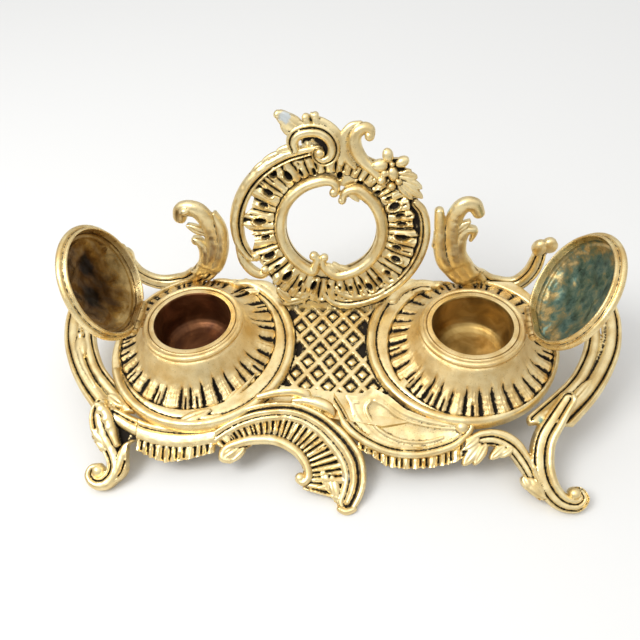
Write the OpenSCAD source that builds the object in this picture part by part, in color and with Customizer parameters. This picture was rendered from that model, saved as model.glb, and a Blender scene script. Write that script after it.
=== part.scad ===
// Double desk inkstand in cast brass: a tilted tray on five feet, two round wells with lift-up
// domed lids, a trellis between them and an upright openwork back with a round medallion.
// Millimetres. The table top is z = 0, +X is the stand's right and +Y is its back.

/* [Tray] */
// Distance between the two well axes
well_spacing = 156; // [144:1:176]
// Height of the tray's top face above the table, on the line of the wells
tray_height = 31.4; // [28:0.1:36]
// Slope of the tray, rising to the back, in degrees
tray_tilt = 7.4; // [4:0.1:10]
// Thickness of the tray plate
plate_t = 2.5; // [2:0.1:4]
// Height of the broad ring moulding round each well
ring_h = 2.4; // [1.5:0.1:3.5]
// Outer radius of the ring mouldings
ring_r = 53.5; // [52:0.5:56]
// Half width of a trellis diamond
diamond_a = 6.2; // [5:0.1:9]
// Half depth of a trellis diamond
diamond_b = 7.9; // [6:0.1:11]
// Width of a trellis bar
bar_w = 2.6; // [2:0.1:4]

/* [Wells and ink cups] */
// Height of the well rims above the middle of the tray
well_rise = 18.6; // [16:0.1:22]
// Outer radius of the well rim
rim_r = 28; // [27:0.5:31]
// Outer radius of the fluted skirt
skirt_r = 45; // [43:0.5:46]
// Number of flutes round a skirt
flutes = 36; // [24:2:44]
// Inner radius of the ink cup
cup_r = 21.5; // [18:0.5:22.5]
// Depth of the ink cup
cup_depth = 24; // [16:0.5:28]
// Wall of the ink cup
cup_wall = 0.9; // [0.7:0.1:1.4]

/* [Lids and hinges] */
// How far a lid's rim reaches past the well's rim
lid_over = 4.6; // [3:0.1:5.5]
// Rise of the lid's dome above its rim
dome_h = 11; // [8:0.5:14]
// Wall of the lid
lid_wall = 1.6; // [1.2:0.1:2.2]
// Angle that the left lid stands open
left_open = 113; // [95:1:120]
// Angle that the right lid stands open
right_open = 123; // [95:1:125]
// Radius of the hinge pin
pin_r = 1; // [0.8:0.05:1.2]
// Outer radius of the hinge knuckles
knuckle_r = 2.2; // [2:0.05:2.5]
// Length of the hinge between the pin heads
hinge_len = 20; // [16:1:24]

/* [Back] */
// Lean of the back, as its slope in degrees from level
back_slope = 74; // [70:1:82]
// Radius of the medallion's hole
hole_r = 25; // [22:0.5:27]
// Radius of the medallion's fluted fan
fan_r = 45.5; // [42:0.5:48]
// Number of ribs round the fan
fan_ribs = 30; // [24:2:48]

/* [Front] */
// Slope of the front apron in degrees
front_slope = 33.2; // [30:0.2:36]
// Number of flutes along each apron frieze
frieze_flutes = 14; // [10:1:18]

/* [Clearances] */
// Play between a hinge pin and its knuckles
pin_play = 0.05; // [0.03:0.01:0.1]
// Gap between the moving pieces and what they close on
lid_gap = 0.3; // [0.2:0.05:0.5]
// Gap between castings that are brazed or screwed together
seam = 0.2; // [0.1:0.05:0.4]

/* [Hidden] */
$fn = 64;
brass = [0.86, 0.74, 0.45];
dark_brass = [0.62, 0.48, 0.26];
copper = [0.50, 0.30, 0.16];

well_x = well_spacing / 2;
rim_z = tray_height + well_rise;
lid_r = rim_r + lid_over;
// The scrolls are drawn for wells this far apart, and what is outboard moves out with the wells
drawn_spacing = 156;
spread = (well_spacing - drawn_spacing) / 2;
// Moves an x beyond near outwards, in full past far and in proportion between
function outward(x, near, far) = let (t = (abs(x) - near) / (far - near))
    x + (x < 0 ? -1 : 1) * spread * min(max(t, 0), 1);
function outwards(p, near, far) = [for (q = p)
    [for (i = [0 : len(q) - 1]) i == 0 ? outward(q[0], near, far) : q[i]]];
well_y = 15;
hinge_x = well_x + rim_r + 2.3;
hinge_z = rim_z + 1.9;
// The tray's ring mouldings stand a little off the well axes
left_ring = [4 - well_x, -4];
right_ring = [well_x - 4.5, 3];
// Where the front apron and the back meet the tray
front_y = well_y - 47;
front_z = tray_height - 5.9;
back_y = well_y + 24;
back_z = tray_height + 4.6;
medallion_c = [0, 51.7];
// Height up the tray of the trellis's middle
trellis_y = 3.65;
trellis_h = 1.6;
cup_out = cup_r + cup_wall;
lip_r = cup_out + 2.4;
lip_t = 1.1;
skirt_z = 6;

// The arms and legs are drawn for a tray this high, and follow it up or down
drawn_height = 31.4;
lift = tray_height - drawn_height;
// On the front face, the part below the frieze is stretched so that it reaches the table
front_drop = 46.57;
leg_stretch = (front_z / sin(front_slope) - 14) / (front_drop - 14);
function drop(q) = [for (i = [0 : len(q) - 1]) i == 1 && q[1] < -14 ? -14 + (q[1] + 14) * leg_stretch : q[i]];
function dropped(p) = [for (q = p) drop(q)];
// Frames of the three sloping faces: x is across, y runs up the slope, z is out of the face
module on_tray() { translate([0, well_y, tray_height]) rotate([tray_tilt, 0, 0]) children(); }
module on_front() { translate([0, front_y, front_z]) rotate([front_slope, 0, 0]) children(); }
module on_back() { translate([0, back_y, back_z]) rotate([back_slope, 0, 0]) children(); }
back_normal = [0, -sin(back_slope), cos(back_slope)];

// A smooth line through a few chosen points, k steps to a stretch
function spline(p, k) = [for (i = [0 : len(p) - 2], j = [0 : k - 1])
    let (t = j / k, a = p[max(i - 1, 0)], b = p[i], c = p[i + 1], d = p[min(i + 2, len(p) - 1)])
    (2 * b + t * (c - a) + t * t * (2 * a - 5 * b + 4 * c - d)
        + t * t * t * (3 * b - 3 * c + d - a)) / 2,
    p[len(p) - 1]];
function xyz(p) = [p[0], p[1], p[2]];
function unit(v) = v / norm(v);
// Points of a flat scroll are [x, y, width]; this lifts them to [x, y, z, width]
function flat(p, z = 0) = [for (q = p) [q[0], q[1], z, q[2]]];
// A stretch of a circle as flat scroll points
function arc(c, r, a0, a1, n, w) = [for (i = [0 : n]) let (a = a0 + (a1 - a0) * i / n)
    [c[0] + r * cos(a), c[1] + r * sin(a), w]];
function wider(p, d) = [for (q = p) [q[0], q[1], q[2], q[3] + d]];

// Cross-sections of the scrolls, across and up, as shares of width and rise
round_bar = [[-0.5, 0], [0.5, 0], [0.4, 0.8], [0, 1], [-0.4, 0.8]];
rimmed_bar = [[-0.5, 0], [0.5, 0], [0.48, 0.8], [0.3, 0.58], [0.12, 1], [-0.22, 1], [-0.5, 0.45]];
rimmed_bar_left = [for (i = [len(rimmed_bar) - 1 : -1 : 0]) [-rimmed_bar[i][0], rimmed_bar[i][1]]];
plain_bar = [[-0.5, 0], [0.5, 0], [0.5, 1], [-0.5, 1]];

// Sweeps a cross-section along points [x, y, z, width], with its flat side down on base
module scroll(path, rise, base = 0, prof = round_bar, n = [0, 0, 1]) {
    m = len(path);
    q = len(prof);
    pts = [for (i = [0 : m - 1])
        let (t = unit(xyz(path[min(i + 1, m - 1)]) - xyz(path[max(i - 1, 0)])),
            s = unit(cross(t, n)), u = cross(s, t))
        for (f = prof) xyz(path[i]) + s * f[0] * path[i][3] + u * (base + f[1] * rise)];
    polyhedron(pts, concat(
        [[for (j = [q - 1 : -1 : 0]) j]],
        [for (i = [0 : m - 2], j = [0 : q - 1]) let (a = i * q + j, b = i * q + (j + 1) % q)
            each [[a, b, b + q], [a, b + q, a + q]]],
        [[for (j = [0 : q - 1]) (m - 1) * q + j]]));
}
// A small round boss that ends a volute
module boss(p, r, z = 0) { translate([p[0], p[1], z]) sphere(r, $fn = 6); }
// Faces of a bar with two ends of four points each
bar_faces = [[0, 1, 2, 3], [7, 6, 5, 4], [0, 4, 5, 1], [1, 5, 6, 2], [2, 6, 7, 3], [3, 7, 4, 0]];
// A raised rib from one point to another, wa and wb wide at its ends, that sinks sink into z
module rib(a, b, wa, wb, z = 0, h = 0.55, sink = 0.6) {
    s = unit([a[1] - b[1], b[0] - a[0]]);
    ends = [for (e = [[a, wa], [b, wb]], f = [[0.5, 0], [0.28, h], [-0.28, h], [-0.5, 0]])
        let (p = e[0] + s * f[0] * e[1]) [p[0], p[1], z + (f[1] > 0 ? f[1] * e[1] : -sink)]];
    hull() polyhedron(ends, bar_faces);
}
// A pointed leaf or petal with a full middle, w wide and as deep as lift under its crown
module leaf(a, b, w, z = 0, lift = 1) {
    s = unit([a[1] - b[1], b[0] - a[0]]) * w / 2;
    m = a * 0.45 + b * 0.55;
    hull() polyhedron([[a[0], a[1], z - 1], [m[0] + s[0], m[1] + s[1], z - 1],
        [b[0], b[1], z - 0.6], [m[0] - s[0], m[1] - s[1], z - 1],
        [a[0], a[1], z + lift * 0.5], [m[0] + s[0] * 0.6, m[1] + s[1] * 0.6, z + lift],
        [b[0], b[1], z + lift * 0.6], [m[0] - s[0] * 0.6, m[1] - s[1] * 0.6, z + lift]],
        bar_faces);
}
// A row of flutes standing between an inner and an outer edge. Both edges have the same
// number of points, and every second one carries a ridge h high that also scallops the edge
module flutes_between(inner, outer, z0, z1, h, scallop = 0.8, closed = false) {
    m = len(inner);
    q = 6;
    pts = [for (i = [0 : m - 1])
        let (a = inner[i], d = outer[i] - a, p = i % 2, b = outer[i] + unit(d) * scallop * p)
        for (f = [[a, z0], [a, z1], [a + d * 0.2, z1 + p * h * 0.6], [a + d * 0.8, z1 + p * h],
            [b, z1 + (p - 1) * h * 0.4], [b, z0]]) [f[0][0], f[0][1], f[1]]];
    side = [for (i = [0 : m - (closed ? 1 : 2)], j = [0 : q - 1])
        let (k = (i + 1) % m, l = (j + 1) % q, a = i * q + j, b = i * q + l, c = k * q + j, e = k * q + l)
        each [[a, e, b], [a, c, e]]];
    polyhedron(pts, closed ? side : concat([[for (j = [0 : q - 1]) j]], side,
        [[for (j = [q - 1 : -1 : 0]) (m - 1) * q + j]]));
}
module above_table() {
    intersection() {
        children();
        translate([-250, -250, 0]) cube(500);
    }
}

// Outline of the tray plate, seen square to it
module tray_outline() {
    intersection() {
        union() {
            translate(left_ring) circle(ring_r);
            translate(right_ring) circle(ring_r);
            polygon([[-50, 34], [-30, 29], [30, 29], [50, 34], [60, -46], [30, -52], [-20, -45],
                [-60, -50]]);
        }
        translate([-200, -100]) square([400, 145]);
    }
}
// The room that the tray takes, with the gap of a seam round it
module tray_room() {
    on_tray() translate([0, 0, -plate_t - seam]) {
        linear_extrude(plate_t + 2 * seam) offset(seam) tray_outline();
        linear_extrude(plate_t + ring_h + 3) intersection() {
            for (c = [left_ring, right_ring]) translate(c) circle(ring_r + seam);
            translate([-200, -100]) square([400, 145 + seam]);
        }
        linear_extrude(plate_t + trellis_h + 2 * seam) offset(seam) trellis_cut();
    }
}
module ring_moulding(c, a0, a1) {
    translate([c[0], c[1], 0]) {
        rotate(a0) rotate_extrude(angle = a1 - a0)
            translate([ring_r - 5.2, 0]) polygon([[0, ring_h - 0.5], [5, ring_h - 0.5],
                [5, ring_h + 0.8], [4, ring_h + 1.9], [2.5, ring_h + 2.3], [1, ring_h + 1.9],
                [0, ring_h + 0.8]]);
        for (a = [a0, a1]) rotate(a) translate([ring_r - 3.3, 0, 0.2])
            cylinder(h = ring_h + 2.4, r = 3);
    }
}
module trellis_cut() {
    difference() {
        polygon([[-36, 27.6], [36, 27.6], [34, -34], [6, -33], [-34, -29]]);
        translate(left_ring) circle(ring_r - 1);
        translate(right_ring) circle(ring_r - 1);
    }
}
module tray_casting() {
    reach = 120;
    color(brass) on_tray() difference() {
        union() {
            translate([0, 0, -plate_t]) linear_extrude(plate_t) tray_outline();
            linear_extrude(ring_h) intersection() {
                union() {
                    translate(left_ring) circle(ring_r);
                    translate(right_ring) circle(ring_r);
                }
                translate([-200, -100]) square([400, 145]);
            }
            ring_moulding(left_ring, -160, 70);
            ring_moulding(right_ring, 107, 352);
            translate([0, 0, -0.4]) linear_extrude(0.4 + trellis_h) intersection() {
                trellis_cut();
                for (i = [-9 : 9], s = [-1, 1])
                    translate([(i * 2 + 1) * diamond_a, trellis_y]) rotate(s * atan2(diamond_b, diamond_a))
                        square([reach, bar_w], center = true);
            }
            for (m = [-5 : 5], k = [-5 : 5]) {
                x = diamond_a * (m + k);
                y = trellis_y + diamond_b * (m - k);
                if (y < 22 && y > -28 && norm([x, y] - left_ring) > ring_r + 3
                    && norm([x, y] - right_ring) > ring_r + 3)
                    translate([x, y, -0.4]) cylinder(h = 1.7, r = 2.5, $fn = 4);
            }
        }
        for (s = [-1, 1]) translate([s * well_x, 0, 0]) {
            cylinder(h = 60, r = skirt_r + seam);
            translate([0, 0, -30]) cylinder(h = 60, r = lip_r + 1.5);
        }
        for (p = well_screw_places()) translate([p[0], p[1], -10]) cylinder(h = 20, r = 1.6);
        for (x = [-22, 22]) translate([x, 25.6, -10]) cylinder(h = 20, r = 1.6);
    }
}

// Two screws hold each well from below
function well_screw_places() = [for (s = [-1, 1], a = [40, 220]) [s * well_x + 33 * cos(a), 33 * sin(a)]];

// The open C that carries each end of the stand, drawn for the right and mirrored for the left
module loop(side) {
    outer = [[125.5, 50.5, 6], [140, 51, 8], [154, 42, 9], [159.3, 24, 9], [156.5, 4, 9],
        [149, -13, 9.5], [139, -28, 10], [127, -41, 11], [119, -49, 11]];
    inner = [[139, 38, 4], [146, 29, 6], [147.5, 17, 7.5], [145, 2, 8], [139, -12, 8],
        [130, -25, 8], [109, -45, 8]];
    difference() {
        intersection() {
            mirror([side < 0 ? 1 : 0, 0, 0]) translate([spread, 0, 0]) on_tray() union() {
                scroll(flat(spline(outer, 2)), 4.6, -1.6, rimmed_bar);
                scroll(flat(spline(inner, 2)), 4.2, -1.6, rimmed_bar_left);
                boss([139, 38.5], 3, 0);
                leaf([151, 45], [138, 35], 9, 1, 2);
                for (i = [0 : 4]) rib([149 - i, 26 - 7 * i], [143 - i, 21 - 8 * i], 2.4, 1.4, 1.8);
                leaf([128, -36], [141, -21], 7, 2, 1.6);
                leaf([122, -38], [112, -45], 6, 2, 1.2);
            }
            translate([-250, front_y + 2, 0]) cube(500);
        }
        tray_room();
    }
}
module left_loop() { color(brass) loop(-1); }
module right_loop() { color(brass) loop(1); }

// Where the left apron meets the arch and the left foot, and the right apron the right foot
arch_left = 59;
foot_left = 103;
foot_right = 72.5;
arch_line = dropped([[-59, -12.7, 6], [-47, -3, 7], [-30, 2.7, 7.5], [-14, 1.4, 8], [-2.4, -4.2, 9],
    [8, -14.6, 10], [15.6, -25.5, 11], [17.2, -36, 10.5], [12.5, -47, 8.5], [8.5, -52, 7]]);
module arch_room() {
    on_front() scroll(wider(flat(spline(arch_line, 2)), 2 * seam), 12, -6, plain_bar);
}
// The edge of a frieze: from and to points with a sag in the middle, as 2 * count + 1 points
function frieze_edge(a, b, sag, count) = [for (i = [0 : 2 * count]) let (t = i / count / 2)
    a * (1 - t) + b * t - [0, 4 * sag * t * (1 - t)]];
module left_apron() {
    color(brass) difference() {
        intersection() {
            on_front() {
                scroll(flat(spline(outwards([[-108, -5, 10], [-98, -9.5, 10], [-84, -12, 10.5],
                    [-70, -12, 10.5], [-56, -9.5, 10]], arch_left, foot_left), 2)), 5.2, -2.5,
                    rimmed_bar_left);
                flutes_between(frieze_edge([-110 - spread, -9], [-54, -9], 5, frieze_flutes),
                    frieze_edge([-110 - spread, -17], [-54, -19], 10, frieze_flutes), -1.8, 0.4, 2);
                for (i = [0 : 7]) let (x = outward(-106 + 6.4 * i, arch_left, foot_left))
                    leaf([x, -15.4], [x, -21], 3.4, 1, 1.6);
            }
            translate([-foot_left - spread, -200, 0]) cube([foot_left - arch_left + spread - seam, 400, 400]);
        }
        tray_room();
    }
}
module front_arch() {
    fan = [-30, -33];
    color(brass) above_table() difference() {
        on_front() {
            scroll(flat(spline(arch_line, 2)), 5.6, -2.5, rimmed_bar_left);
            scroll(flat(spline(dropped([[-51, -24.5, 4], [-55, -22.5, 4.5], [-48.5, -16.5, 5],
                [-37.5, -12, 5], [-26, -12.8, 5], [-15.8, -18, 5], [-9.6, -25, 4.5],
                [-8.4, -31, 4], [-11.8, -33, 3.5]]), 2)), 4.6, -2.2, round_bar);
            boss(drop([-11.4, -32]), 2.6);
            boss(drop([-51, -23.6]), 2.8);
            flutes_between([for (i = [0 : 22]) let (a = -12 + 7.3 * i)
                drop(fan + 20.6 * [cos(a), sin(a)])],
                [for (i = [0 : 22]) let (a = -14 + 7.2 * i, r = 43 - 0.44 * i)
                    drop(fan + r * [cos(a), sin(a)])], -1.8, 0.4, 2.2);
            for (i = [0 : 5]) leaf(drop(fan + 36 * [cos(65 - 13 * i), sin(65 - 13 * i)]),
                drop(fan + 29 * [cos(70 - 13 * i), sin(70 - 13 * i)]), 3, 1, 2.2);
            leaf(drop([-3, 8]), drop([-15, 1]), 6, 3, 1.6);
            leaf(drop([8, -1]), drop([-3, -7]), 6, 3, 1.6);
        }
        tray_room();
        translate([-foot_left, -200, 0]) cube([foot_left - arch_left, 400, 400]);
    }
}
leaf_rim = outwards([[9, 9, 4], [7.5, 0.5, 5], [17, -6, 5.5], [31, -12, 5.5], [45, -14.8, 5.5],
    [60, -13.8, 5.5], [72, -9.5, 5], [76, -4, 4], [72, -0.5, 3.5]], 17, foot_right);
module rocaille_leaf() {
    color(brass) difference() {
        on_front() {
            scroll(flat(spline(leaf_rim, 2), 0.4), 4.8, -2.5, rimmed_bar);
            translate([0, 0, -2]) linear_extrude(2.4) polygon(concat(
                [for (p = spline([for (q = leaf_rim) [q[0], q[1]]], 2)) if (p[0] < 74 + spread) p],
                outwards([[60, -2.5], [46, 1], [34, 5], [22, 8.5]], 17, foot_right)));
            scroll(flat(spline(outwards([[10, 10, 3], [22, 8.6, 4], [34, 5, 4], [47, 0.8, 4],
                [60, -2.4, 3.5], [69, -3, 3]], 17, foot_right), 2)), 3.4, -2, round_bar);
            boss([71.5 + spread, -3.4], 3.8, 1);
            for (i = [0 : 6]) rib([14 + 4 * i, 5 - 1.6 * i], [24 + 5.5 * i, 0.5 - 1.4 * i], 1.4, 2.2, 0.4);
            leaf([12, -1], [28, -8], 5, 1, 1.4);
        }
        arch_room();
        tray_room();
    }
}
module right_apron() {
    color(brass) difference() {
        intersection() {
            on_front() {
                flutes_between(frieze_edge([10, -10], [80 + spread, -8], 7, frieze_flutes + 2),
                    frieze_edge([12, -17.5], [78 + spread, -16], 10, frieze_flutes + 2), -1.8, 0.4, 2);
                for (i = [0 : 7]) let (x = outward(23 + 6.2 * i, 17, foot_right))
                    leaf([x, -17.6], [x, -23], 3.4, 1, 1.6);
            }
            translate([-100, -200, 0]) cube([100 + foot_right + spread, 400, 400]);
        }
        arch_room();
        tray_room();
        on_front() translate([0, 0, -6]) linear_extrude(14) polygon(concat(
            [for (p = spline([for (q = leaf_rim) [q[0], q[1] - q[2] / 2 - 0.3]], 2)) p],
            [[70 + spread, 20], [9, 20]]));
    }
}
module left_front_foot() {
    leg = dropped([[-121, 4, 8], [-123, -6, 10], [-119, -18, 8], [-115, -29, 7.5], [-117, -38.5, 6.5],
        [-123.5, -42, 5.5], [-129, -38, 4.5], [-128, -32.5, 4], [-124, -32.5, 3.5]]);
    color(brass) above_table() difference() {
        translate([-spread, 0, 0]) intersection() {
            on_front() {
                scroll(flat(spline(leg, 2)), 7, -3.4, rimmed_bar_left);
                scroll(flat(spline(dropped([[-100, -21, 7], [-107, -26, 7.5], [-112, -34, 6],
                    [-117, -39, 4]]), 2)), 6, -3, round_bar);
                scroll(flat(spline(dropped([[-111, 2, 5], [-108, -7, 7], [-104, -14, 8],
                    [-100, -19, 6]]), 2)), 5, -2.5, round_bar);
                boss(drop([-124.6, -33.4]), 3, -0.5);
                for (i = [0 : 3]) leaf(drop([-117 - i, -2 - 6 * i]), drop([-127 + i, -7 - 6 * i]), 8, 2.6, 2);
                for (i = [0 : 3]) rib(drop([-105 + i, -8 - 4 * i]), drop([-113, -10 - 5 * i]), 1.8, 2.4, 1.2);
                translate([0, 0, -2]) linear_extrude(3) polygon(dropped([[-120, 2], [-108, 2],
                    [-103, -12], [-103, -22], [-112, -30], [-116, -24]]));
            }
            translate([-200, -200, 0]) cube([200 - foot_left - seam, 200 + front_y + 2 - seam, 400]);
        }
        tray_room();
    }
}
module right_front_foot() {
    leg = dropped([[124, 10, 10], [116, -2, 11], [111.5, -14, 12], [112, -26, 12], [117, -36, 10.5],
        [125, -41.5, 8], [131.5, -38.5, 6], [131, -33.5, 4.5], [127, -33, 3.5]]);
    color(brass) above_table() difference() {
        translate([spread, 0, 0]) intersection() {
            on_front() {
                scroll(flat(spline(leg, 2)), 7, -3.4, rimmed_bar);
                scroll(flat(spline(dropped([[74, -17, 5], [78, -11, 7], [88, -9, 8.5], [97, -14, 8.5],
                    [103, -23, 7.5], [109, -33, 6], [114, -40, 4]]), 2)), 6, -3, rimmed_bar);
                boss(drop([127.4, -34.6]), 3, -0.5);
                leaf(drop([82, -10]), drop([73.5, -21]), 7, 1.4, 1.6);
                leaf(drop([88, -10]), drop([80, -21]), 6.5, 1.4, 1.6);
                leaf(drop([93, -12]), drop([87, -19]), 5, 1.4, 1.4);
                leaf(drop([98, -13]), drop([97, -20]), 4.5, 1.4, 1.4);
                leaf(drop([104, -30]), drop([116, -39]), 8, 2.4, 1.8);
            }
            translate([foot_right + seam, -200, 0]) cube([200, 200 + front_y + 2 - seam, 400]);
        }
        tray_room();
    }
}
// Plain back legs, turned out of the same bar as the scrolls
module rear_foot(side) {
    leg = [[104, 39.5, 27.6, 9], [105, 43.5, 20, 9], [106, 50, 11, 7.5], [107, 54, 3.5, 6.5],
        [107, 57, 2.3, 5], [107, 59.5, 5.2, 4]];
    place = [for (q = leg) [q[0], q[1] + well_y, q[2] + lift * max((q[2] - 5.2) / 22.4, 0), q[3]]];
    above_table() mirror([side < 0 ? 1 : 0, 0, 0]) translate([spread, 0, 0]) {
        scroll(spline(place, 3), 5, -2.5, round_bar, [0, 1, 0.2]);
        translate([104, well_y + 39.2, tray_height - 3.8]) cylinder(h = 3.8, r = 5, $fn = 24);
    }
}
module left_rear_foot() { color(brass) difference() { rear_foot(-1); tray_room(); } }
module right_rear_foot() { color(brass) difference() { rear_foot(1); tray_room(); } }

// Top of the medallion's flutes, and how far they reach past the fan's radius
fan_top = 2.8;
fan_over = 5;
// The room of the fluted fan under the crest and the flowers
module fan_room() {
    translate([medallion_c[0], medallion_c[1], -9])
        cylinder(h = 9 + fan_top + seam, r = fan_r + fan_over + 1.6);
}
function around(a, r) = medallion_c + r * [cos(a), sin(a)];
module back_medallion() {
    left_frame = [[-4, 97.5, 5], [-20.4, 95.2, 6], [-33, 89.7, 6.5], [-43.5, 80.7, 7],
        [-50.7, 69.4, 7], [-53.3, 57.7, 7], [-53, 46.5, 7], [-49.7, 36.3, 6.5], [-45.5, 31.5, 5.5],
        [-42, 34.5, 4]];
    left_end = [[-52, 40, 4], [-50.5, 31, 5.5], [-46.5, 24, 6], [-41, 22, 5.5], [-38.5, 26, 4]];
    right_frame = [[48.5, 71, 5], [50.4, 67.4, 6], [51.9, 56, 7], [51.8, 44.2, 7], [48.1, 32, 7],
        [40.9, 20.5, 7], [30.2, 11.4, 7], [14.6, 5.6, 7], [2, 5.4, 6], [-5, 9, 5], [-5.5, 14, 4]];
    color(brass) difference() {
        on_back() {
            difference() {
                translate([0, 0, -1.4]) linear_extrude(2.4) union() {
                    translate(medallion_c) circle(hole_r + 10, $fn = 48);
                    polygon([[-27, -2], [27, -2], [34, 12], [20, 24], [-20, 24], [-34, 12]]);
                }
                translate([medallion_c[0], medallion_c[1], -5]) cylinder(h = 10, r = hole_r);
            }
            scroll(flat(spline(left_frame, 2)), 6.4, -2.4, rimmed_bar);
            scroll(flat(spline(left_end, 2)), 5, -1.6, round_bar);
            scroll(flat(spline(right_frame, 2)), 6.4, -2.4, rimmed_bar_left);
            boss([-42, 33.5], 2.6, 0.6);
            boss([-38.8, 25], 2.6, 0.6);
            boss([-5.3, 13], 2.6, 0.6);
            for (i = [0 : 2]) leaf([-21 - 6 * i, 97 - 3.5 * i], [-34 - 5 * i, 94.5 - 6 * i], 6, 1, 1.6);
            flutes_between([for (i = [0 : 2 * fan_ribs - 1]) around(i * 180 / fan_ribs + 0.4, hole_r + 7.7)],
                [for (i = [0 : 2 * fan_ribs - 1]) let (a = i * 180 / fan_ribs)
                    around(a, a > 350 || a < 150 ? fan_r + fan_over : a < 220 ? fan_r : fan_r + 3)],
                -1.3, 0.8, fan_top - 0.8, 1.2, true);
            for (a = [20, -8, -40, -66, -118, -146]) leaf(around(a, fan_r + 3), around(a + 4, fan_r - 4),
                4, 1, 2.4);
        }
        tray_room();
        on_tray() for (x = [-22, 22]) translate([x, 25.6, -10]) cylinder(h = 17, r = 1.3, $fn = 24);
    }
}
module medallion_scrolls() {
    r = hole_r + 3.2;
    left_c = concat([[2.5, 72.5, 3.6], [2.5, 76, 4.6], [-1, 79, 5.5]],
        arc(medallion_c, r, 102, 248, 7, 6.2), [[-8.5, 30.8, 5.4], [-8, 34.5, 4], [-9.8, 36.4, 3.4]]);
    right_c = concat([[7.6, 69.5, 3.6], [8.4, 73, 4.6], [12.2, 75.6, 5.6]],
        arc([0.4, 51], r - 0.2, 55, -88, 7, 6.2), [[-3.2, 27.5, 5], [-4.4, 31.5, 4.4],
        [-3.4, 35, 3.4]]);
    color(brass) on_back() {
        scroll(flat(spline(left_c, 2)), 4.6, 1 + seam, round_bar);
        scroll(flat(spline(right_c, 2)), 4.6, 1 + seam, round_bar);
        boss([3.4, 73], 2.4, 3.8);
        boss([-10, 35.6], 2.4, 3.8);
        boss([6.6, 69], 2, 3.4);
        boss([-3.6, 34.4], 2, 3.4);
        for (i = [0 : 4]) rib([-2 + 1.8 * i, 28.5 - 1.2 * i], [3 + 2.6 * i, 28.5 - 1.2 * i], 1.6, 1.2, 4.4);
        for (i = [0 : 3]) rib([8 + 2 * i, 73.5 - 0.4 * i], [12 + 2 * i, 71.5 - i], 1.2, 1.6, 4.4);
    }
}
module crest_scrolls() {
    volute = [[-20, 99, 5], [-19, 104.5, 7], [-12, 108.2, 7.5], [-3.5, 106, 7.5], [1.2, 99, 7],
        [0, 92.6, 6], [-4.2, 90.8, 4.8], [-7, 94, 3.8], [-4.4, 96.2, 3]];
    outer = [[-9, 115.5, 2.5], [-3, 112, 5], [3, 105.5, 5.5], [6.2, 98, 5], [6, 90, 4.5]];
    right = [[27, 78.5, 5], [20.5, 84, 6], [15, 89.5, 7], [11.4, 95.5, 7.5], [10.8, 101.5, 7],
        [13.8, 105.6, 6.5], [18, 106.8, 6], [21.4, 105, 5], [21.4, 102.5, 4]];
    color(brass) on_back() difference() {
        union() {
            scroll(flat(spline(volute, 2)), 5.6, 1 + seam, rimmed_bar_left);
            scroll(flat(spline(outer, 2)), 4, 1 + seam, round_bar);
            scroll(flat(spline(right, 2)), 5.6, 1 + seam, rimmed_bar_left);
            boss([-4.8, 95.4], 2.6, 4);
            boss([21.4, 102.8], 2.8, 4);
            leaf([-13, 107], [-26, 118.6], 9, 3.4, 1.2);
            leaf([-16, 104], [-25, 111], 6, 3.2, 1);
            leaf([-12, 109], [-19, 117], 5, 3.6, 0.6);
            leaf([-4, 109], [-10.5, 115.5], 4.5, 3.8, 0.6);
            leaf([-3, 110], [-5.5, 116], 4, 3.6, 0.4);
            leaf([-8, 109], [-14, 114], 4, 3.6, 0.4);
            for (i = [0 : 3]) rib([12.5, 91 + 3 * i], [8, 93 + 3 * i], 1.2, 1.8, 4);
        }
        translate([-80, -10, -20]) cube([160, 200, 21 + seam]);
        fan_room();
        // the crest is cut to fit over the medallion's left frame
        scroll(flat(spline([[-2, 97.5, 5.6], [-20.4, 95.2, 6.6], [-33, 89.7, 7.1], [-43.5, 80.7, 7.6],
            [-50.7, 69.4, 7.6]], 2)), 7, -2.4, plain_bar);
    }
}
module flower_spray() {
    heart = [32.6, 88.4];
    color(brass) on_back() difference() {
        union() {
            for (i = [0 : 4]) let (a = 100 + i * 72)
                leaf(heart, heart + 8 * [cos(a), sin(a)], 6.4, 4.4, 2.6);
            boss(heart, 2, 7.4);
            boss([27.6, 80], 2.6, 4.4);
            boss([33.9, 76.6], 2.6, 4.4);
            boss([39, 79], 2.2, 4.2);
            leaf([35, 84], [46.5, 80.5], 6, 4, 1.4);
            leaf([37, 80], [49, 74], 5.5, 4, 1.2);
            leaf([40, 77], [50.5, 68], 5, 4, 1);
            leaf([36, 83], [44, 71], 5, 4, 1);
            hull() {
                translate([30.4, 78.2, 1 + seam]) cylinder(h = 3.4, r = 3.6, $fn = 10);
                translate([33, 88, 1 + seam]) cylinder(h = 3.8, r = 4, $fn = 10);
            }
            hull() {
                translate([33, 86, 1 + seam]) cylinder(h = 3.4, r = 4, $fn = 10);
                translate([44, 76, 1 + seam]) cylinder(h = 3.2, r = 3, $fn = 10);
            }
        }
        fan_room();
        scroll(flat(spline([[27, 78.5, 6], [20.5, 84, 7], [15, 90, 8], [11.6, 96.5, 8.5]], 2)), 12, -2,
            plain_bar);
        scroll(flat(spline([[48.5, 71, 6], [50.4, 67.4, 7], [51.9, 56, 8]], 2)), 12, -4, plain_bar);
    }
}
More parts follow.
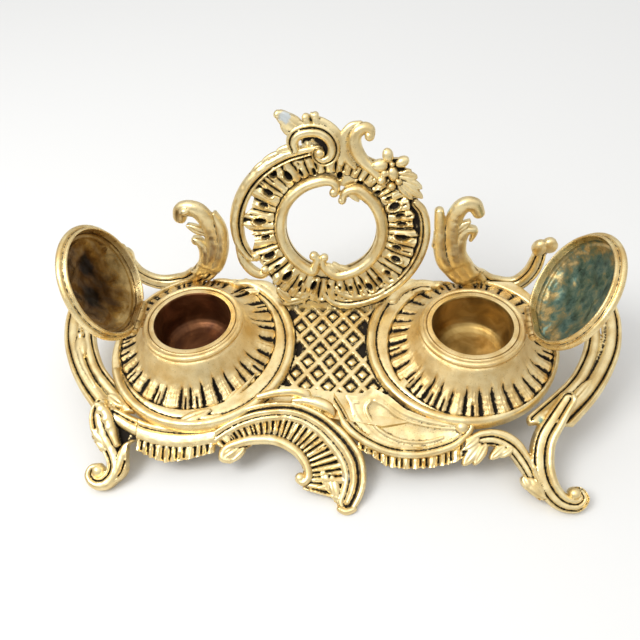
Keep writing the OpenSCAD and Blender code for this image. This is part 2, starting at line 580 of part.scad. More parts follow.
// The arms stay fixed as far out as arm_root and move with the loops from arm_end on
arm_root = 88;
arm_end = 121;
function arm_path(p) = outwards([for (q = p) [q[0], q[1] + well_y, q[2] + lift, q[3]]], arm_root, arm_end);
module left_arm() {
    stem = arm_path([[-79, 43.4, 97, 5], [-75, 44, 100.5, 7], [-68.5, 43, 97.5, 9],
        [-65, 40, 88, 11], [-66, 37, 76, 12], [-70.5, 37, 63, 12], [-78, 41, 50.5, 11],
        [-88.5, 46, 39.5, 10], [-101, 48, 33.5, 9], [-112, 48, 35.5, 8.5], [-119, 48, 44, 8],
        [-121.5, 48, 55, 7], [-119, 47.5, 62, 6], [-123, 47, 68, 4.5], [-127, 47, 65.5, 3.5]]);
    color(brass) difference() {
        union() {
            scroll(spline(stem, 2), 6, -3, rimmed_bar, back_normal);
            translate([-127 - spread, 47 + well_y, 65 + lift]) sphere(3.4, $fn = 6);
            on_back() {
                boss([-80, 60], 3.2, -0.5);
                leaf([-70, 65], [-85, 61], 8, 0, 2.4);
                leaf([-66, 56], [-81, 57.5], 7, 0, 2.4);
                leaf([-66, 47], [-77, 49], 6, -1, 2.4);
                leaf([-63, 46], [-57.2, 61], 6, -1, 3);
                for (i = [0 : 3]) rib([-62.5 - i, 56 - 7 * i], [-58.8 - 1.6 * i, 50 - 7 * i], 2, 2.8, 0.4);
            }
        }
        medallion_room();
        tray_room();
        well_room();
    }
}
module right_arm() {
    stem = arm_path([[76, 43.4, 95, 4.5], [75.5, 44, 100.5, 6.5], [70, 44, 103, 8],
        [63.5, 43, 97, 9], [61.5, 40, 87, 11], [63.5, 38, 75.5, 12], [68, 37.5, 63, 12],
        [76.5, 41, 50, 11], [87.5, 46, 38.5, 10], [99, 48, 32.5, 9], [109, 48, 34, 8.5],
        [116, 48, 43, 8], [119, 48, 53, 7], [117.5, 47.5, 62, 6], [122, 47, 68.5, 4.5],
        [128, 47, 67.5, 3.5]]);
    color(brass) difference() {
        union() {
            scroll(spline(stem, 2), 6, -3, rimmed_bar_left, back_normal);
            translate([129 + spread, 47 + well_y, 66.5 + lift]) sphere(3.4, $fn = 6);
            on_back() {
                boss([77.5, 60], 3.2, -0.5);
                leaf([61, 42], [58.5, 68], 6, -1, 3);
                leaf([61, 61], [82, 65.5], 7.5, 0, 2.6);
                leaf([61, 52], [79, 55], 7.5, 0, 2.6);
                leaf([62, 45], [76, 47], 6, -1, 2.4);
                leaf([62, 57], [80, 60.5], 5, 0, 2.2);
                for (i = [0 : 2]) rib([60.5 + i, 54 - 7 * i], [56.8 + 1.6 * i, 48 - 7 * i], 2, 2.8, 0.4);
            }
        }
        medallion_room();
        tray_room();
        well_room();
    }
}
// The room that the medallion's outer frame takes, for the arms that are brazed to it
module medallion_room() {
    on_back() translate([medallion_c[0], medallion_c[1] - 3, -6]) cylinder(h = 14, r = 56.6, $fn = 64);
}
module well_room() {
    for (s = [-1, 1]) translate([s * well_x, well_y, tray_height]) {
        rotate([tray_tilt, 0, 0]) cylinder(h = 4, r = skirt_r + 2 * seam, $fn = 48);
        cylinder(h = rim_z - tray_height, r1 = skirt_r, r2 = rim_r + 3, $fn = 48);
    }
}

// A well: rim, neck and trumpet stand upright, and the fluted skirt lies square on the tray
module well(side) {
    x = side * well_x;
    bore = cup_out + 0.3;
    low = tray_height - 8;
    translate([x, well_y, 0]) difference() {
        union() {
            intersection() {
                rotate_extrude() polygon([[bore, low], [36, low], [36, tray_height + 6.5],
                    [32.5, tray_height + 9.2], [29.6, tray_height + 12], [27.2, rim_z - 4.4],
                    [26.8, rim_z - 3.6], [27.3, rim_z - 3.1], [rim_r - 0.3, rim_z - 2.9],
                    [rim_r, rim_z - 2.4], [rim_r, rim_z - 0.9], [rim_r - 0.2, rim_z - 0.3],
                    [rim_r - 0.6, rim_z], [bore, rim_z]]);
                translate([0, 0, tray_height]) rotate([tray_tilt, 0, 0])
                    translate([-60, -60, seam]) cube([120, 120, 60]);
            }
            translate([0, 0, tray_height]) rotate([tray_tilt, 0, 0]) rotate_extrude()
                polygon([[lip_r + 2, seam], [skirt_r - 0.4, seam], [skirt_r, 1.0], [skirt_r - 1, 1.8],
                    [41.5, 3.6], [38, 6.1], [35, 8.8], [32.6, 11.6], [lip_r + 2, 11.6]]);
        }
        translate([0, 0, rim_z - lip_t]) cylinder(h = 10, r = lip_r + 0.2);
        translate([0, 0, -1]) cylinder(h = 80, r = bore);
        translate([0, 0, tray_height]) rotate([tray_tilt, 0, 0]) {
            for (i = [0 : flutes - 1]) rotate((i + 0.5) * 360 / flutes)
                translate([33.4, 0, 10.8]) rotate([0, 131, 0]) cylinder(h = 18, r1 = 0.6, r2 = 2.3, $fn = 16);
            for (p = well_screw_places()) if (p[0] * side > 0)
                translate([p[0] - x, p[1], -1]) cylinder(h = 6, r = 1.25);
        }
        // flat on the rim for the hinge leaf
        translate([side * (rim_r + 2.3), 0, rim_z - 1]) cube([6, 9.4, 2.2], center = true);
    }
}
module left_well() { color(brass) well(-1); }
module right_well() { color(brass) well(1); }

// A turned cup that drops into the well and hangs on its lip
module ink_cup(side) {
    z0 = rim_z - cup_depth - cup_wall;
    translate([side * well_x, well_y, 0]) rotate_extrude() polygon([[0, z0], [cup_out - 2.5, z0],
        [cup_out - 0.7, z0 + 0.8], [cup_out, z0 + 2.6], [cup_out, rim_z - lip_t + 0.1],
        [lip_r, rim_z - lip_t + 0.1], [lip_r, rim_z + 0.1], [cup_r + 0.7, rim_z + 0.2],
        [cup_r, rim_z - 0.5], [cup_r, z0 + cup_wall + 1.6], [cup_r - 1.2, z0 + cup_wall], [0, z0 + cup_wall]]);
}
module left_ink_cup() { color(copper) ink_cup(-1); }
module right_ink_cup() { color(dark_brass) ink_cup(1); }

// Knuckle barrel along Y, round the hinge axis
module barrel(y0, y1) {
    translate([0, y0, 0]) rotate([-90, 0, 0]) difference() {
        cylinder(h = y1 - y0, r = knuckle_r);
        translate([0, 0, -1]) cylinder(h = y1 - y0 + 2, r = pin_r + pin_play);
    }
}
mid_half = hinge_len * 0.23;
barrel_gap = 0.3;
module well_knuckle(side) {
    leaf_in = rim_r - 0.5;
    translate([side * hinge_x, well_y, hinge_z]) {
        barrel(-mid_half, mid_half);
        difference() {
            translate([0, -mid_half, rim_z - 2 - hinge_z]) {
                translate([side > 0 ? well_x + leaf_in - hinge_x : 0, 0, 0])
                    cube([hinge_x - well_x - leaf_in, 2 * mid_half, 1.6]);
                translate([-1.4, 0, 0]) cube([2.8, 2 * mid_half, 2.6]);
            }
            translate([0, -20, 0]) rotate([-90, 0, 0]) cylinder(h = 40, r = knuckle_r - 0.3);
        }
    }
}
module left_well_knuckle() { color(dark_brass) well_knuckle(-1); }
module right_well_knuckle() { color(dark_brass) well_knuckle(1); }
module hinge_pin(side) {
    translate([side * hinge_x, well_y, hinge_z]) rotate([-90, 0, 0]) {
        cylinder(h = hinge_len + 2 * barrel_gap + 0.4, r = pin_r, center = true);
        for (s = [-1, 1]) translate([0, 0, s * (hinge_len / 2 + barrel_gap + 0.55)])
            cylinder(h = 1.1, r = pin_r + 0.7, center = true);
    }
}
module left_hinge_pin() { color(dark_brass) hinge_pin(-1); }
module right_hinge_pin() { color(dark_brass) hinge_pin(1); }

// Turns what is drawn in the closed place to where the lid stands open
module opened(side) {
    angle = side < 0 ? left_open : right_open;
    translate([side * hinge_x, well_y, hinge_z]) rotate([0, side * angle, 0])
        translate([-side * hinge_x, -well_y, -hinge_z]) children();
}
// The two lugs that carry the lid's knuckles, drawn closed with play round them
module lugs(side, play) {
    reach = 3 + play;
    middle = (hinge_len / 2 + mid_half + barrel_gap) / 2;
    for (s = [-1, 1]) translate([side * hinge_x, well_y + s * middle, hinge_z])
        translate([-side * reach / 2, 0, 0.2])
            cube([reach, hinge_len / 2 - mid_half - barrel_gap + 2 * play, 2.8 + 2 * play], center = true);
}
module lid(side) {
    z0 = rim_z + lid_gap;
    lid_in = rim_r - 1.4;
    top = dome_h + 3.4;
    dome = [[lid_r - 3.7, 3.4], [lid_r - 7.2, dome_h * 0.53], [lid_r * 0.6, dome_h * 0.75],
        [lid_r * 0.4, dome_h * 0.95], [lid_r * 0.23, dome_h * 1.07]];
    opened(side) difference() {
        translate([side * well_x, well_y, z0]) rotate_extrude() polygon(concat(
            [for (i = [4 : -1 : 1]) dome[i] - lid_wall * [0.6, 1.25]],
            [[lid_in, 1.2], [lid_in, 0], [lid_r - 0.8, 0], [lid_r, 0.8], [lid_r, 2], [lid_r - 0.8, 2.9],
                [lid_r - 2.4, 3.2], [lid_r - 3, 2.6]],
            dome,
            [[4.2, top - 1.6], [3.4, top + 0.6], [4.8, top + 1.6], [6.2, top + 3.4], [6.4, top + 5],
                [5.6, top + 6.8], [3.6, top + 8], [1.8, top + 8.6], [1.2, top + 9.8], [0, top + 10.2],
                [0, dome_h - lid_wall]]));
        translate([side * hinge_x, well_y, hinge_z]) rotate([-90, 0, 0])
            cylinder(h = hinge_len + 3.6, r = knuckle_r + 0.4, center = true);
        lugs(side, 0.1);
    }
}
module left_lid() { color(brass) lid(-1); }
module right_lid() { color(brass) lid(1); }
module lid_hinge(side) {
    opened(side) {
        translate([side * hinge_x, well_y, hinge_z]) {
            barrel(-hinge_len / 2, -mid_half - barrel_gap);
            barrel(mid_half + barrel_gap, hinge_len / 2);
        }
        difference() {
            lugs(side, 0);
            translate([side * hinge_x, well_y, hinge_z]) rotate([-90, 0, 0])
                cylinder(h = 40, r = knuckle_r - 0.3, center = true);
        }
    }
}
module left_lid_hinge() { color(dark_brass) lid_hinge(-1); }
module right_lid_hinge() { color(dark_brass) lid_hinge(1); }

module screw(h, head_r) {
    translate([0, 0, -1.4]) cylinder(h = 1.4, r = head_r, $fn = 24);
    cylinder(h = h, r = 1.1, $fn = 24);
}
module well_screws() {
    color(dark_brass) on_tray() for (p = well_screw_places())
        translate([p[0], p[1], -plate_t]) screw(plate_t + 3.6, 2.4);
}
module back_screws() {
    color(dark_brass) on_tray() for (x = [-22, 22]) translate([x, 25.6, -plate_t]) screw(plate_t + 4.6, 2.4);
}

tray_casting();
left_loop();
right_loop();
left_apron();
front_arch();
right_apron();
rocaille_leaf();
left_front_foot();
right_front_foot();
left_rear_foot();
right_rear_foot();
back_medallion();
medallion_scrolls();
crest_scrolls();
flower_spray();
left_arm();
right_arm();
left_well();
right_well();
left_ink_cup();
right_ink_cup();
left_well_knuckle();
right_well_knuckle();
left_hinge_pin();
right_hinge_pin();
left_lid();
right_lid();
left_lid_hinge();
right_lid_hinge();
well_screws();
back_screws();
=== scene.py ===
import math

import bmesh
import bpy
import numpy as np
from mathutils import Matrix, Vector


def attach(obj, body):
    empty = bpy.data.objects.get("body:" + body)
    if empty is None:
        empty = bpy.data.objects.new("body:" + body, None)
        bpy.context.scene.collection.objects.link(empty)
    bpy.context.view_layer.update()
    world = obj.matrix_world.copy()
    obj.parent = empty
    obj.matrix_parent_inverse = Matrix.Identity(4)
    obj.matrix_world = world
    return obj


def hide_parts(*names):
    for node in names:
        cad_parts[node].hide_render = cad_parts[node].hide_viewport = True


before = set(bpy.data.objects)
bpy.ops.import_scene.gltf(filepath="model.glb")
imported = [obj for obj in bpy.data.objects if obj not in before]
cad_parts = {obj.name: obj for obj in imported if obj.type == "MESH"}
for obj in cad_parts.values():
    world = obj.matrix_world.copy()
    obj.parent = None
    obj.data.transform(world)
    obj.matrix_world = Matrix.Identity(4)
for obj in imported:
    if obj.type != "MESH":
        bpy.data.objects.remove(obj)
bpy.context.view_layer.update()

# Tray casting. The real one is a sand-cast brass plate, tilted up to the back, with two broad ring
# mouldings round the wells and a trellis of flat bars over small rough studs. It was chased, then
# darkened all over, and the raised metal was polished bright again.


def smooth_line(points, steps=8):
    """A smooth run of points through a few chosen ones, each x, y and width."""
    p = np.array(points, float)
    t = np.arange(steps)[:, None] / steps
    runs = []
    for i in range(len(p) - 1):
        a, b, c, d = p[max(i - 1, 0)], p[i], p[i + 1], p[min(i + 2, len(p) - 1)]
        runs.append((2 * b + t * (c - a) + t * t * (2 * a - 5 * b + 4 * c - d) + t ** 3
                     * (3 * b - 3 * c + d - a)) / 2)
    return np.vstack(runs + [p[-1:]])


def soften(field, passes):
    """Blurs a field a little with each pass."""
    for _ in range(passes):
        field = np.pad(field, 1, mode="edge")
        field = (field[:-2] + 2 * field[1:-1] + field[2:]) / 4
        field = (field[:, :-2] + 2 * field[:, 1:-1] + field[:, 2:]) / 4
    return field


def ramp(value, low, high):
    """0 below low, 1 above high and smooth between."""
    t = np.clip((value - low) / (high - low), 0, 1)
    return t * t * (3 - 2 * t)


round_back = (np.array([-1, -.92, -.75, -.5, -.25, 0, .25, .5, .75, .92, 1]),
              np.array([.30, .52, .74, .90, .98, 1, .98, .90, .74, .52, .30]))


class Casting:
    """Cast metal over a grid of millimetres: how high it stands, and how far inside its outline."""

    def __init__(self, x0, x1, y0, y1, step=0.45, seed=1):
        self.step = step
        self.x = np.arange(x0, x1 + step, step)
        self.y = np.arange(y0, y1 + step, step)
        self.X, self.Y = np.meshgrid(self.x, self.y)
        self.inside = np.full(self.X.shape, -99.0)
        self.top = np.full(self.X.shape, -99.0)
        self.near = np.full(self.X.shape, -99.0)
        self.random = np.random.default_rng(seed)

    def lay(self, inside, top):
        """Adds metal: where two forms cross, the higher one shows."""
        top = np.broadcast_to(top, inside.shape)
        close = inside > -2.5 * self.step
        self.near = np.where(close, np.maximum(self.near, top), self.near)
        self.top = np.where(inside > 0, np.maximum(self.top, top), self.top)
        self.inside = np.maximum(self.inside, inside)

    def cut(self, inside):
        """Takes metal away where inside is above 0."""
        self.inside = np.minimum(self.inside, -inside)

    def sink(self, inside, depth, soft=0.5):
        """Presses a hollow into the metal."""
        self.top = self.top - depth * ramp(inside, -soft, soft)

    def polygon(self, corners):
        """Distance inside a closed outline."""
        c = np.array(corners, float)
        best = np.full(self.X.shape, 1e9)
        odd = np.zeros(self.X.shape, bool)
        for a, b in zip(c, np.roll(c, -1, axis=0)):
            d = b - a
            t = np.clip(((self.X - a[0]) * d[0] + (self.Y - a[1]) * d[1]) / (d @ d), 0, 1)
            best = np.minimum(best, np.hypot(self.X - a[0] - t * d[0], self.Y - a[1] - t * d[1]))
            if a[1] != b[1]:
                over = (a[1] > self.Y) != (b[1] > self.Y)
                odd ^= over & (self.X < d[0] * (self.Y - a[1]) / d[1] + a[0])
        return np.where(odd, best, -best)

    def along(self, path):
        """For each point, how far it is outside a path's edge, its offset to the left as a share
        of the half width, and that half width."""
        out = np.full(self.X.shape, 99.0)
        offset, half = np.zeros(out.shape), np.ones(out.shape)
        lengths = np.hypot(*np.diff(path[:, :2], axis=0).T)
        for a, b, length in zip(path[:-1], path[1:], lengths):
            reach = max(a[2], b[2]) / 2 + 3
            i = slice(*np.searchsorted(self.x, [min(a[0], b[0]) - reach, max(a[0], b[0]) + reach]))
            j = slice(*np.searchsorted(self.y, [min(a[1], b[1]) - reach, max(a[1], b[1]) + reach]))
            X, Y = self.X[j, i] - a[0], self.Y[j, i] - a[1]
            if X.size and length > 1e-6:
                d = (b[:2] - a[:2]) / length
                t = np.clip((X * d[0] + Y * d[1]) / length, 0, 1)
                far = np.hypot(X - t * length * d[0], Y - t * length * d[1])
                w = (a[2] + (b[2] - a[2]) * t) / 2
                better = far - w < out[j, i]
                out[j, i] = np.where(better, far - w, out[j, i])
                share = np.where(d[0] * Y - d[1] * X < 0, -far, far) / w
                offset[j, i] = np.where(better, share, offset[j, i])
                half[j, i] = np.where(better, w, half[j, i])
        return out, offset, half

    def scroll(self, points, rise, base=0.0, shape=round_back):
        """A moulding along a path, that gets lower where it gets narrow."""
        path = smooth_line(points)
        out, offset, half = self.along(path)
        height = np.interp(np.clip(offset, -1, 1), *shape)
        top = base + rise * height * (half / (path[:, 2].max() / 2)) ** 0.5
        self.lay(-out, top)

    def knob(self, x, y, r, base, lift=0.8):
        """A round boss."""
        far = np.hypot(self.X - x, self.Y - y)
        self.lay(r - far, base + lift * r * np.sqrt(np.clip(1 - (far / r) ** 2, 0.02, 1)))

    def leaf(self, tail, tip, width, base, lift, vein=0.45, bluntness=0.55):
        """A leaf or lobe with a sunk vein, from its tail to its tip."""
        tail, tip = np.array(tail, float), np.array(tip, float)
        axis = tip - tail
        length = np.hypot(*axis)
        t = ((self.X - tail[0]) * axis[0] + (self.Y - tail[1]) * axis[1]) / length ** 2
        s = ((self.Y - tail[1]) * axis[0] - (self.X - tail[0]) * axis[1]) / length
        half = width / 2 * np.sin(math.pi * np.clip(t, 0.001, 0.999) ** 0.85) ** bluntness
        past = np.maximum(-t, t - 1) * length
        inside = np.where(past > 0, -np.hypot(past, s), half - np.abs(s))
        u = np.clip(np.abs(s) / np.maximum(half, 0.05), 0, 1)
        crown = np.sqrt(1 - u ** 2 * 0.9) * (0.55 + 0.45 * np.sin(math.pi * np.clip(t, 0, 1)))
        groove = vein * np.exp(-(s / (0.09 * width + 0.15)) ** 2) * ramp(t, 0.0, 0.2) * ramp(-t, -0.95, -0.7)
        self.lay(inside, base + lift * crown - groove)

    def petal(self, x, y, angle, long, wide, base, lift):
        """A smooth oval dome."""
        c, s = math.cos(math.radians(angle)), math.sin(math.radians(angle))
        a = ((self.X - x) * c + (self.Y - y) * s) / long
        b = ((self.Y - y) * c - (self.X - x) * s) / wide
        r = np.hypot(a, b)
        self.lay((1 - r) * min(long, wide), base + lift * np.sqrt(np.clip(1 - r * r, 0.03, 1)))

    def pit(self, x, y, angle, long, wide, depth, lip=0.5):
        """An oval hollow with a raised lip."""
        c, s = math.cos(math.radians(angle)), math.sin(math.radians(angle))
        a = ((self.X - x) * c + (self.Y - y) * s) / long
        b = ((self.Y - y) * c - (self.X - x) * s) / wide
        r = np.hypot(a, b)
        self.top = self.top - depth * ramp(-r, -1.0, -0.7) + lip * np.exp(-((r - 1.25) / 0.22) ** 2)

    def chase(self, amount, grain=3.0):
        """The unevenness of a casting finished by hand."""
        wobble = np.zeros(self.X.shape)
        for _ in range(14):
            kx, ky = self.random.normal(0, 1, 2) * 2 * math.pi / grain / 2
            wobble += np.sin(self.X * kx + self.Y * ky + self.random.uniform(0, 6.3))
        self.top = self.top + amount * wobble / 3.7
        self.near = self.near + amount * wobble / 3.7


def recess(top, solid, step):
    """How deep each point lies in a recess, from 0 to 1: where the dark patina stays."""
    solid = solid.astype(float)
    filled = np.where(solid > 0, top, 0.0)
    deep = np.zeros(top.shape)
    for spread, scale in ((0.9, 0.58), (2.4, 1.35)):
        passes = int(round(spread ** 2 / (0.5 * step ** 2)))
        level = soften(filled, passes) / np.maximum(soften(solid, passes), 1e-3)
        deep = np.maximum(deep, (level - top) / scale)
    return np.clip(deep, 0, 1)


def tilted(x, y, z, slope, mirror=1):
    """Places a flat casting on a plane through a point, sloping up to the back."""
    c, s = math.cos(math.radians(slope)), math.sin(math.radians(slope))

    def place(p):
        return np.stack([mirror * (p[:, 0] + x), y + p[:, 1] * c - p[:, 2] * s,
                         z + p[:, 1] * s + p[:, 2] * c], axis=1) / 1000
    return place


def pour(name, sheet, place, thickness, material, nodes, mirror=False, floor=None, hollow=0):
    """Turns a casting's relief into a closed mesh. A hollow casting's back follows its front."""
    keep = sheet.inside > 0
    cells = keep[:-1, :-1] | keep[1:, :-1] | keep[:-1, 1:] | keep[1:, 1:]
    used = np.zeros(keep.shape, bool)
    for j in (0, 1):
        for i in (0, 1):
            used[j:used.shape[0] - 1 + j, i:used.shape[1] - 1 + i] |= cells
    gy, gx = np.gradient(sheet.inside, sheet.step)
    steep = np.maximum(gx ** 2 + gy ** 2, 0.2)
    push = np.where(keep, 0, np.clip(-sheet.inside, 0, 1.4 * sheet.step)) / np.sqrt(steep)
    X = sheet.X + push * gx / np.sqrt(steep)
    Y = sheet.Y + push * gy / np.sqrt(steep)
    Z = np.where(keep, sheet.top, sheet.near)
    Z = np.where(Z < -50, 0, Z)
    dark = recess(np.where(used, Z, 0), used, sheet.step) * (0.3 + 0.7 * ramp(sheet.inside, 0.1, 1.3))
    index = np.full(keep.shape, -1)
    index[used] = np.arange(used.sum())
    count = int(used.sum())
    low = np.full(count, -float(thickness))
    if hollow:
        solid = used.astype(float)
        level = soften(np.where(used, Z, 0), 10) / np.maximum(soften(solid, 10), 1e-3)
        low = np.maximum(low, level[used] - hollow)
    upper = np.stack([X[used], Y[used], Z[used]], axis=1)
    lower = np.stack([X[used], Y[used], np.minimum(low, Z[used] - 0.4)], axis=1)
    jj, ii = np.nonzero(cells)
    a, b, c, d = index[jj, ii], index[jj, ii + 1], index[jj + 1, ii + 1], index[jj + 1, ii]
    faces = [np.stack([a, b, c, d], 1), np.stack([a, d, c, b], 1) + count]
    grown = np.pad(cells, 1)
    across = grown[1:, 1:-1].astype(int) - grown[:-1, 1:-1]
    jj, ii = np.nonzero(across)
    e, f = index[jj, ii], index[jj, ii + 1]
    flip = across[jj, ii] < 0
    e, f = np.where(flip, f, e), np.where(flip, e, f)
    faces.append(np.stack([f, e, e + count, f + count], 1))
    upright = grown[1:-1, 1:].astype(int) - grown[1:-1, :-1]
    jj, ii = np.nonzero(upright)
    e, f = index[jj + 1, ii], index[jj, ii]
    flip = upright[jj, ii] < 0
    e, f = np.where(flip, f, e), np.where(flip, e, f)
    faces.append(np.stack([f, e, e + count, f + count], 1))
    quads = np.vstack(faces)
    points = place(np.vstack([upper, lower]))
    if floor is not None:
        points[:, 2] = np.maximum(points[:, 2], floor / 1000)
    if mirror:
        quads = quads[:, ::-1]
    return finish_mesh(name, points, quads, np.concatenate([dark[used], np.full(count, 0.25)]), material,
                       nodes)


def finish_mesh(name, points, faces, dark, material, nodes, body="stand", sharp=50):
    """Makes a named piece of points, faces and the patina at each point, and rides it on its body."""
    mesh = bpy.data.meshes.new(name)
    mesh.from_pydata(np.asarray(points).tolist(), [], np.asarray(faces).tolist())
    layer = mesh.attributes.new("patina", "FLOAT", "POINT")
    layer.data.foreach_set("value", np.asarray(dark, np.float32))
    mesh.materials.append(material)
    mesh.shade_smooth()
    mesh.set_sharp_from_angle(angle=math.radians(sharp))
    piece = bpy.data.objects.new(name, mesh)
    bpy.context.scene.collection.objects.link(piece)
    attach(piece, body)
    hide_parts(*nodes)
    return piece


class Finish:
    """A metal's material, with the nodes that vary it over the piece on Object coordinates."""

    def __init__(self, name):
        self.material = bpy.data.materials.new(name)
        self.material.use_nodes = True
        self.nodes, self.links = self.material.node_tree.nodes, self.material.node_tree.links
        self.shader = self.nodes["Principled BSDF"]
        self.where = self.nodes.new("ShaderNodeTexCoord").outputs["Object"]

    def join(self, socket, value):
        """Feeds one of the shader's own sockets."""
        self.links.new(value, self.shader.inputs[socket])

    def noise(self, scale, detail=3.0, roughness=0.55, twist=0.0):
        """Cloudy variation, finer as scale rises."""
        node = self.nodes.new("ShaderNodeTexNoise")
        for socket, number in (("Scale", scale), ("Detail", detail), ("Roughness", roughness),
                               ("Distortion", twist)):
            node.inputs[socket].default_value = number
        self.links.new(self.where, node.inputs["Vector"])
        return node.outputs["Fac"]

    def blend(self, fac, first, second):
        """Mixes two colours, each a plain one or a node's."""
        node = self.nodes.new("ShaderNodeMix")
        node.data_type = "RGBA"
        self.links.new(fac, node.inputs["Factor"])
        for socket, value in ((node.inputs[6], first), (node.inputs[7], second)):
            if isinstance(value, tuple):
                socket.default_value = (*value, 1)
            else:
                self.links.new(value, socket)
        return node.outputs[2]

    def tones(self, value, places, colours):
        """Runs through a few colours as value rises."""
        node = self.nodes.new("ShaderNodeValToRGB")
        band = node.color_ramp.elements
        band[0].position, band[1].position = places[0], places[-1]
        band[0].color, band[1].color = (*colours[0], 1), (*colours[-1], 1)
        for place, colour in zip(places[1:-1], colours[1:-1]):
            band.new(place).color = (*colour, 1)
        self.links.new(value, node.inputs["Fac"])
        return node.outputs["Color"]

    def spread(self, value, low, high, to_low=0.0, to_high=1.0, curve="SMOOTHSTEP"):
        """Stretches the range from low to high to the new one."""
        node = self.nodes.new("ShaderNodeMapRange")
        node.interpolation_type = curve
        for socket, number in zip(node.inputs[1:5], (low, high, to_low, to_high)):
            socket.default_value = number
        self.links.new(value, node.inputs[0])
        return node.outputs[0]

    def maths(self, kind, a, b, clamp=False):
        """One sum on numbers or nodes."""
        node = self.nodes.new("ShaderNodeMath")
        node.operation, node.use_clamp = kind, clamp
        for socket, value in zip(node.inputs, (a, b)):
            if isinstance(value, (int, float)):
                socket.default_value = value
            else:
                self.links.new(value, socket)
        return node.outputs[0]

    def away(self, x, y, z):
        """Distance from a spot that is given in millimetres."""
        node = self.nodes.new("ShaderNodeVectorMath")
        node.operation = "DISTANCE"
        node.inputs[1].default_value = (x / 1000, y / 1000, z / 1000)
        self.links.new(self.where, node.inputs[0])
        return node.outputs["Value"]

    def grit(self, height, strength, depth):
        """Fine unevenness, too small to model."""
        node = self.nodes.new("ShaderNodeBump")
        node.inputs["Strength"].default_value = strength
        node.inputs["Distance"].default_value = depth
        self.links.new(height, node.inputs["Height"])
        self.join("Normal", node.outputs["Normal"])


def brass_finish(name, bright, deep, rough, brushed=0.0, spots=()):
    """Polished brass over black patina: the patina attribute says where the black stays, and spots
    are the few places (x, y, z, size, colour) where the metal has gone green or grey."""
    brass = Finish(name)
    noise, blend, spread, maths = brass.noise, brass.blend, brass.spread, brass.maths
    patina = brass.nodes.new("ShaderNodeAttribute")
    patina.attribute_name = "patina"
    metal = blend(spread(noise(95, 4.0), 0.35, 0.7), bright, deep)
    speck = spread(noise(1900, 2.0, 0.7), 0.59, 0.71)
    broken = maths("MULTIPLY", spread(noise(520, 4.0, 0.7), 0.3, 0.7), 0.46)
    depth = maths("ADD", patina.outputs["Fac"], maths("SUBTRACT", broken, 0.23))
    black = spread(depth, 0.36, 0.70)
    stain = maths("MULTIPLY", speck, spread(depth, -0.2, 0.3))
    worn = maths("MAXIMUM", black, maths("MULTIPLY", stain, 0.75))
    colour = blend(worn, metal, (0.018, 0.014, 0.010))
    metallic = maths("SUBTRACT", 1.0, maths("MULTIPLY", worn, 0.85))
    for x, y, z, size, tone in spots:
        ragged = maths("ADD", brass.away(x, y, z), maths("MULTIPLY", noise(640, 5.0, 0.7), size / 900))
        patch = maths("MULTIPLY", spread(ragged, size / 1050, size / 700, 1, 0), 0.8)
        colour = blend(patch, colour, tone)
        metallic = maths("MULTIPLY", metallic, maths("SUBTRACT", 1.0, patch))
    brass.join("Base Color", colour)
    brass.join("Metallic", metallic)
    brass.shader.inputs["Specular IOR Level"].default_value = 0.12
    smear = spread(noise(230, 3.0), 0.3, 0.7, rough - 0.07, rough + 0.1)
    brass.join("Roughness", maths("ADD", smear, maths("MULTIPLY", worn, 0.35)))
    grain = maths("ADD", noise(1500, 3.0, 0.6), maths("MULTIPLY", noise(420, 3.0, 0.6), 1.4))
    if brushed:
        lines = brass.nodes.new("ShaderNodeAttribute")
        lines.attribute_name = "turn"
        hairs = brass.nodes.new("ShaderNodeTexNoise")
        hairs.noise_dimensions = "1D"
        hairs.inputs["Scale"].default_value = 60
        hairs.inputs["Detail"].default_value = 4
        brass.links.new(lines.outputs["Fac"], hairs.inputs["W"])
        grain = maths("ADD", grain, maths("MULTIPLY", hairs.outputs["Fac"], brushed))
    brass.grit(grain, 0.35, 0.00012)
    return brass.material


verdigris, bluish = (0.16, 0.36, 0.36), (0.42, 0.50, 0.58)
stand_brass = brass_finish("stand brass", (0.91, 0.76, 0.43), (0.74, 0.55, 0.25), 0.36, spots=(
    (-5.9, -23.5, 27.5, 5.5, verdigris), (111.4, -30.4, 26.5, 3, verdigris), (-80, 55, 88.4, 4, verdigris),
    (65.5, 55, 97, 5, verdigris), (-21.2, 66.5, 147, 5, bluish), (12, -58, 9, 4, bluish)))
on_tray = (0, 15, 31.4, 7.4)
left_ring, right_ring, well_x, ring_r = (-74, -4), (73.5, 3), 78, 53.5
well_seat, back_edge = 43.2, 45

tray = Casting(-129, 129, -58, 46, 0.5, seed=3)
ring_left = ring_r - np.hypot(tray.X - left_ring[0], tray.Y - left_ring[1])
ring_right = ring_r - np.hypot(tray.X - right_ring[0], tray.Y - right_ring[1])
well = np.minimum(np.hypot(tray.X + well_x, tray.Y), np.hypot(tray.X - well_x, tray.Y))
middle = tray.polygon([(-50, 34), (-30, 29), (30, 29), (50, 34), (60, -46), (30, -52), (-20, -45),
                       (-60, -50)])
ring = np.maximum(ring_left, ring_right)
outline = np.minimum(np.minimum(np.maximum(ring, middle), back_edge - tray.Y), well - well_seat)
bead = np.interp(ring, [0, .3, .8, 1.8, 3, 4.3, 5.1, 5.45, 5.8, 6.6, 8, 12],
                 [1.7, 2.9, 3.9, 4.6, 4.7, 4.1, 3.1, 1.7, 2.0, 2.7, 2.9, 2.8])
band = np.interp(ring, [0, .4, 1.2, 3, 6, 12], [1.2, 2.0, 2.4, 2.6, 2.7, 2.6])
turn_left = np.degrees(np.arctan2(tray.Y - left_ring[1], tray.X - left_ring[0]))
turn_right = np.degrees(np.arctan2(tray.Y - right_ring[1], tray.X - right_ring[0])) % 360
beaded = np.where(ring_left > ring_right, ramp(turn_left, -161, -159) * ramp(-turn_left, -71, -69),
                  ramp(turn_right, 106, 108) * ramp(-turn_right, -353, -351))
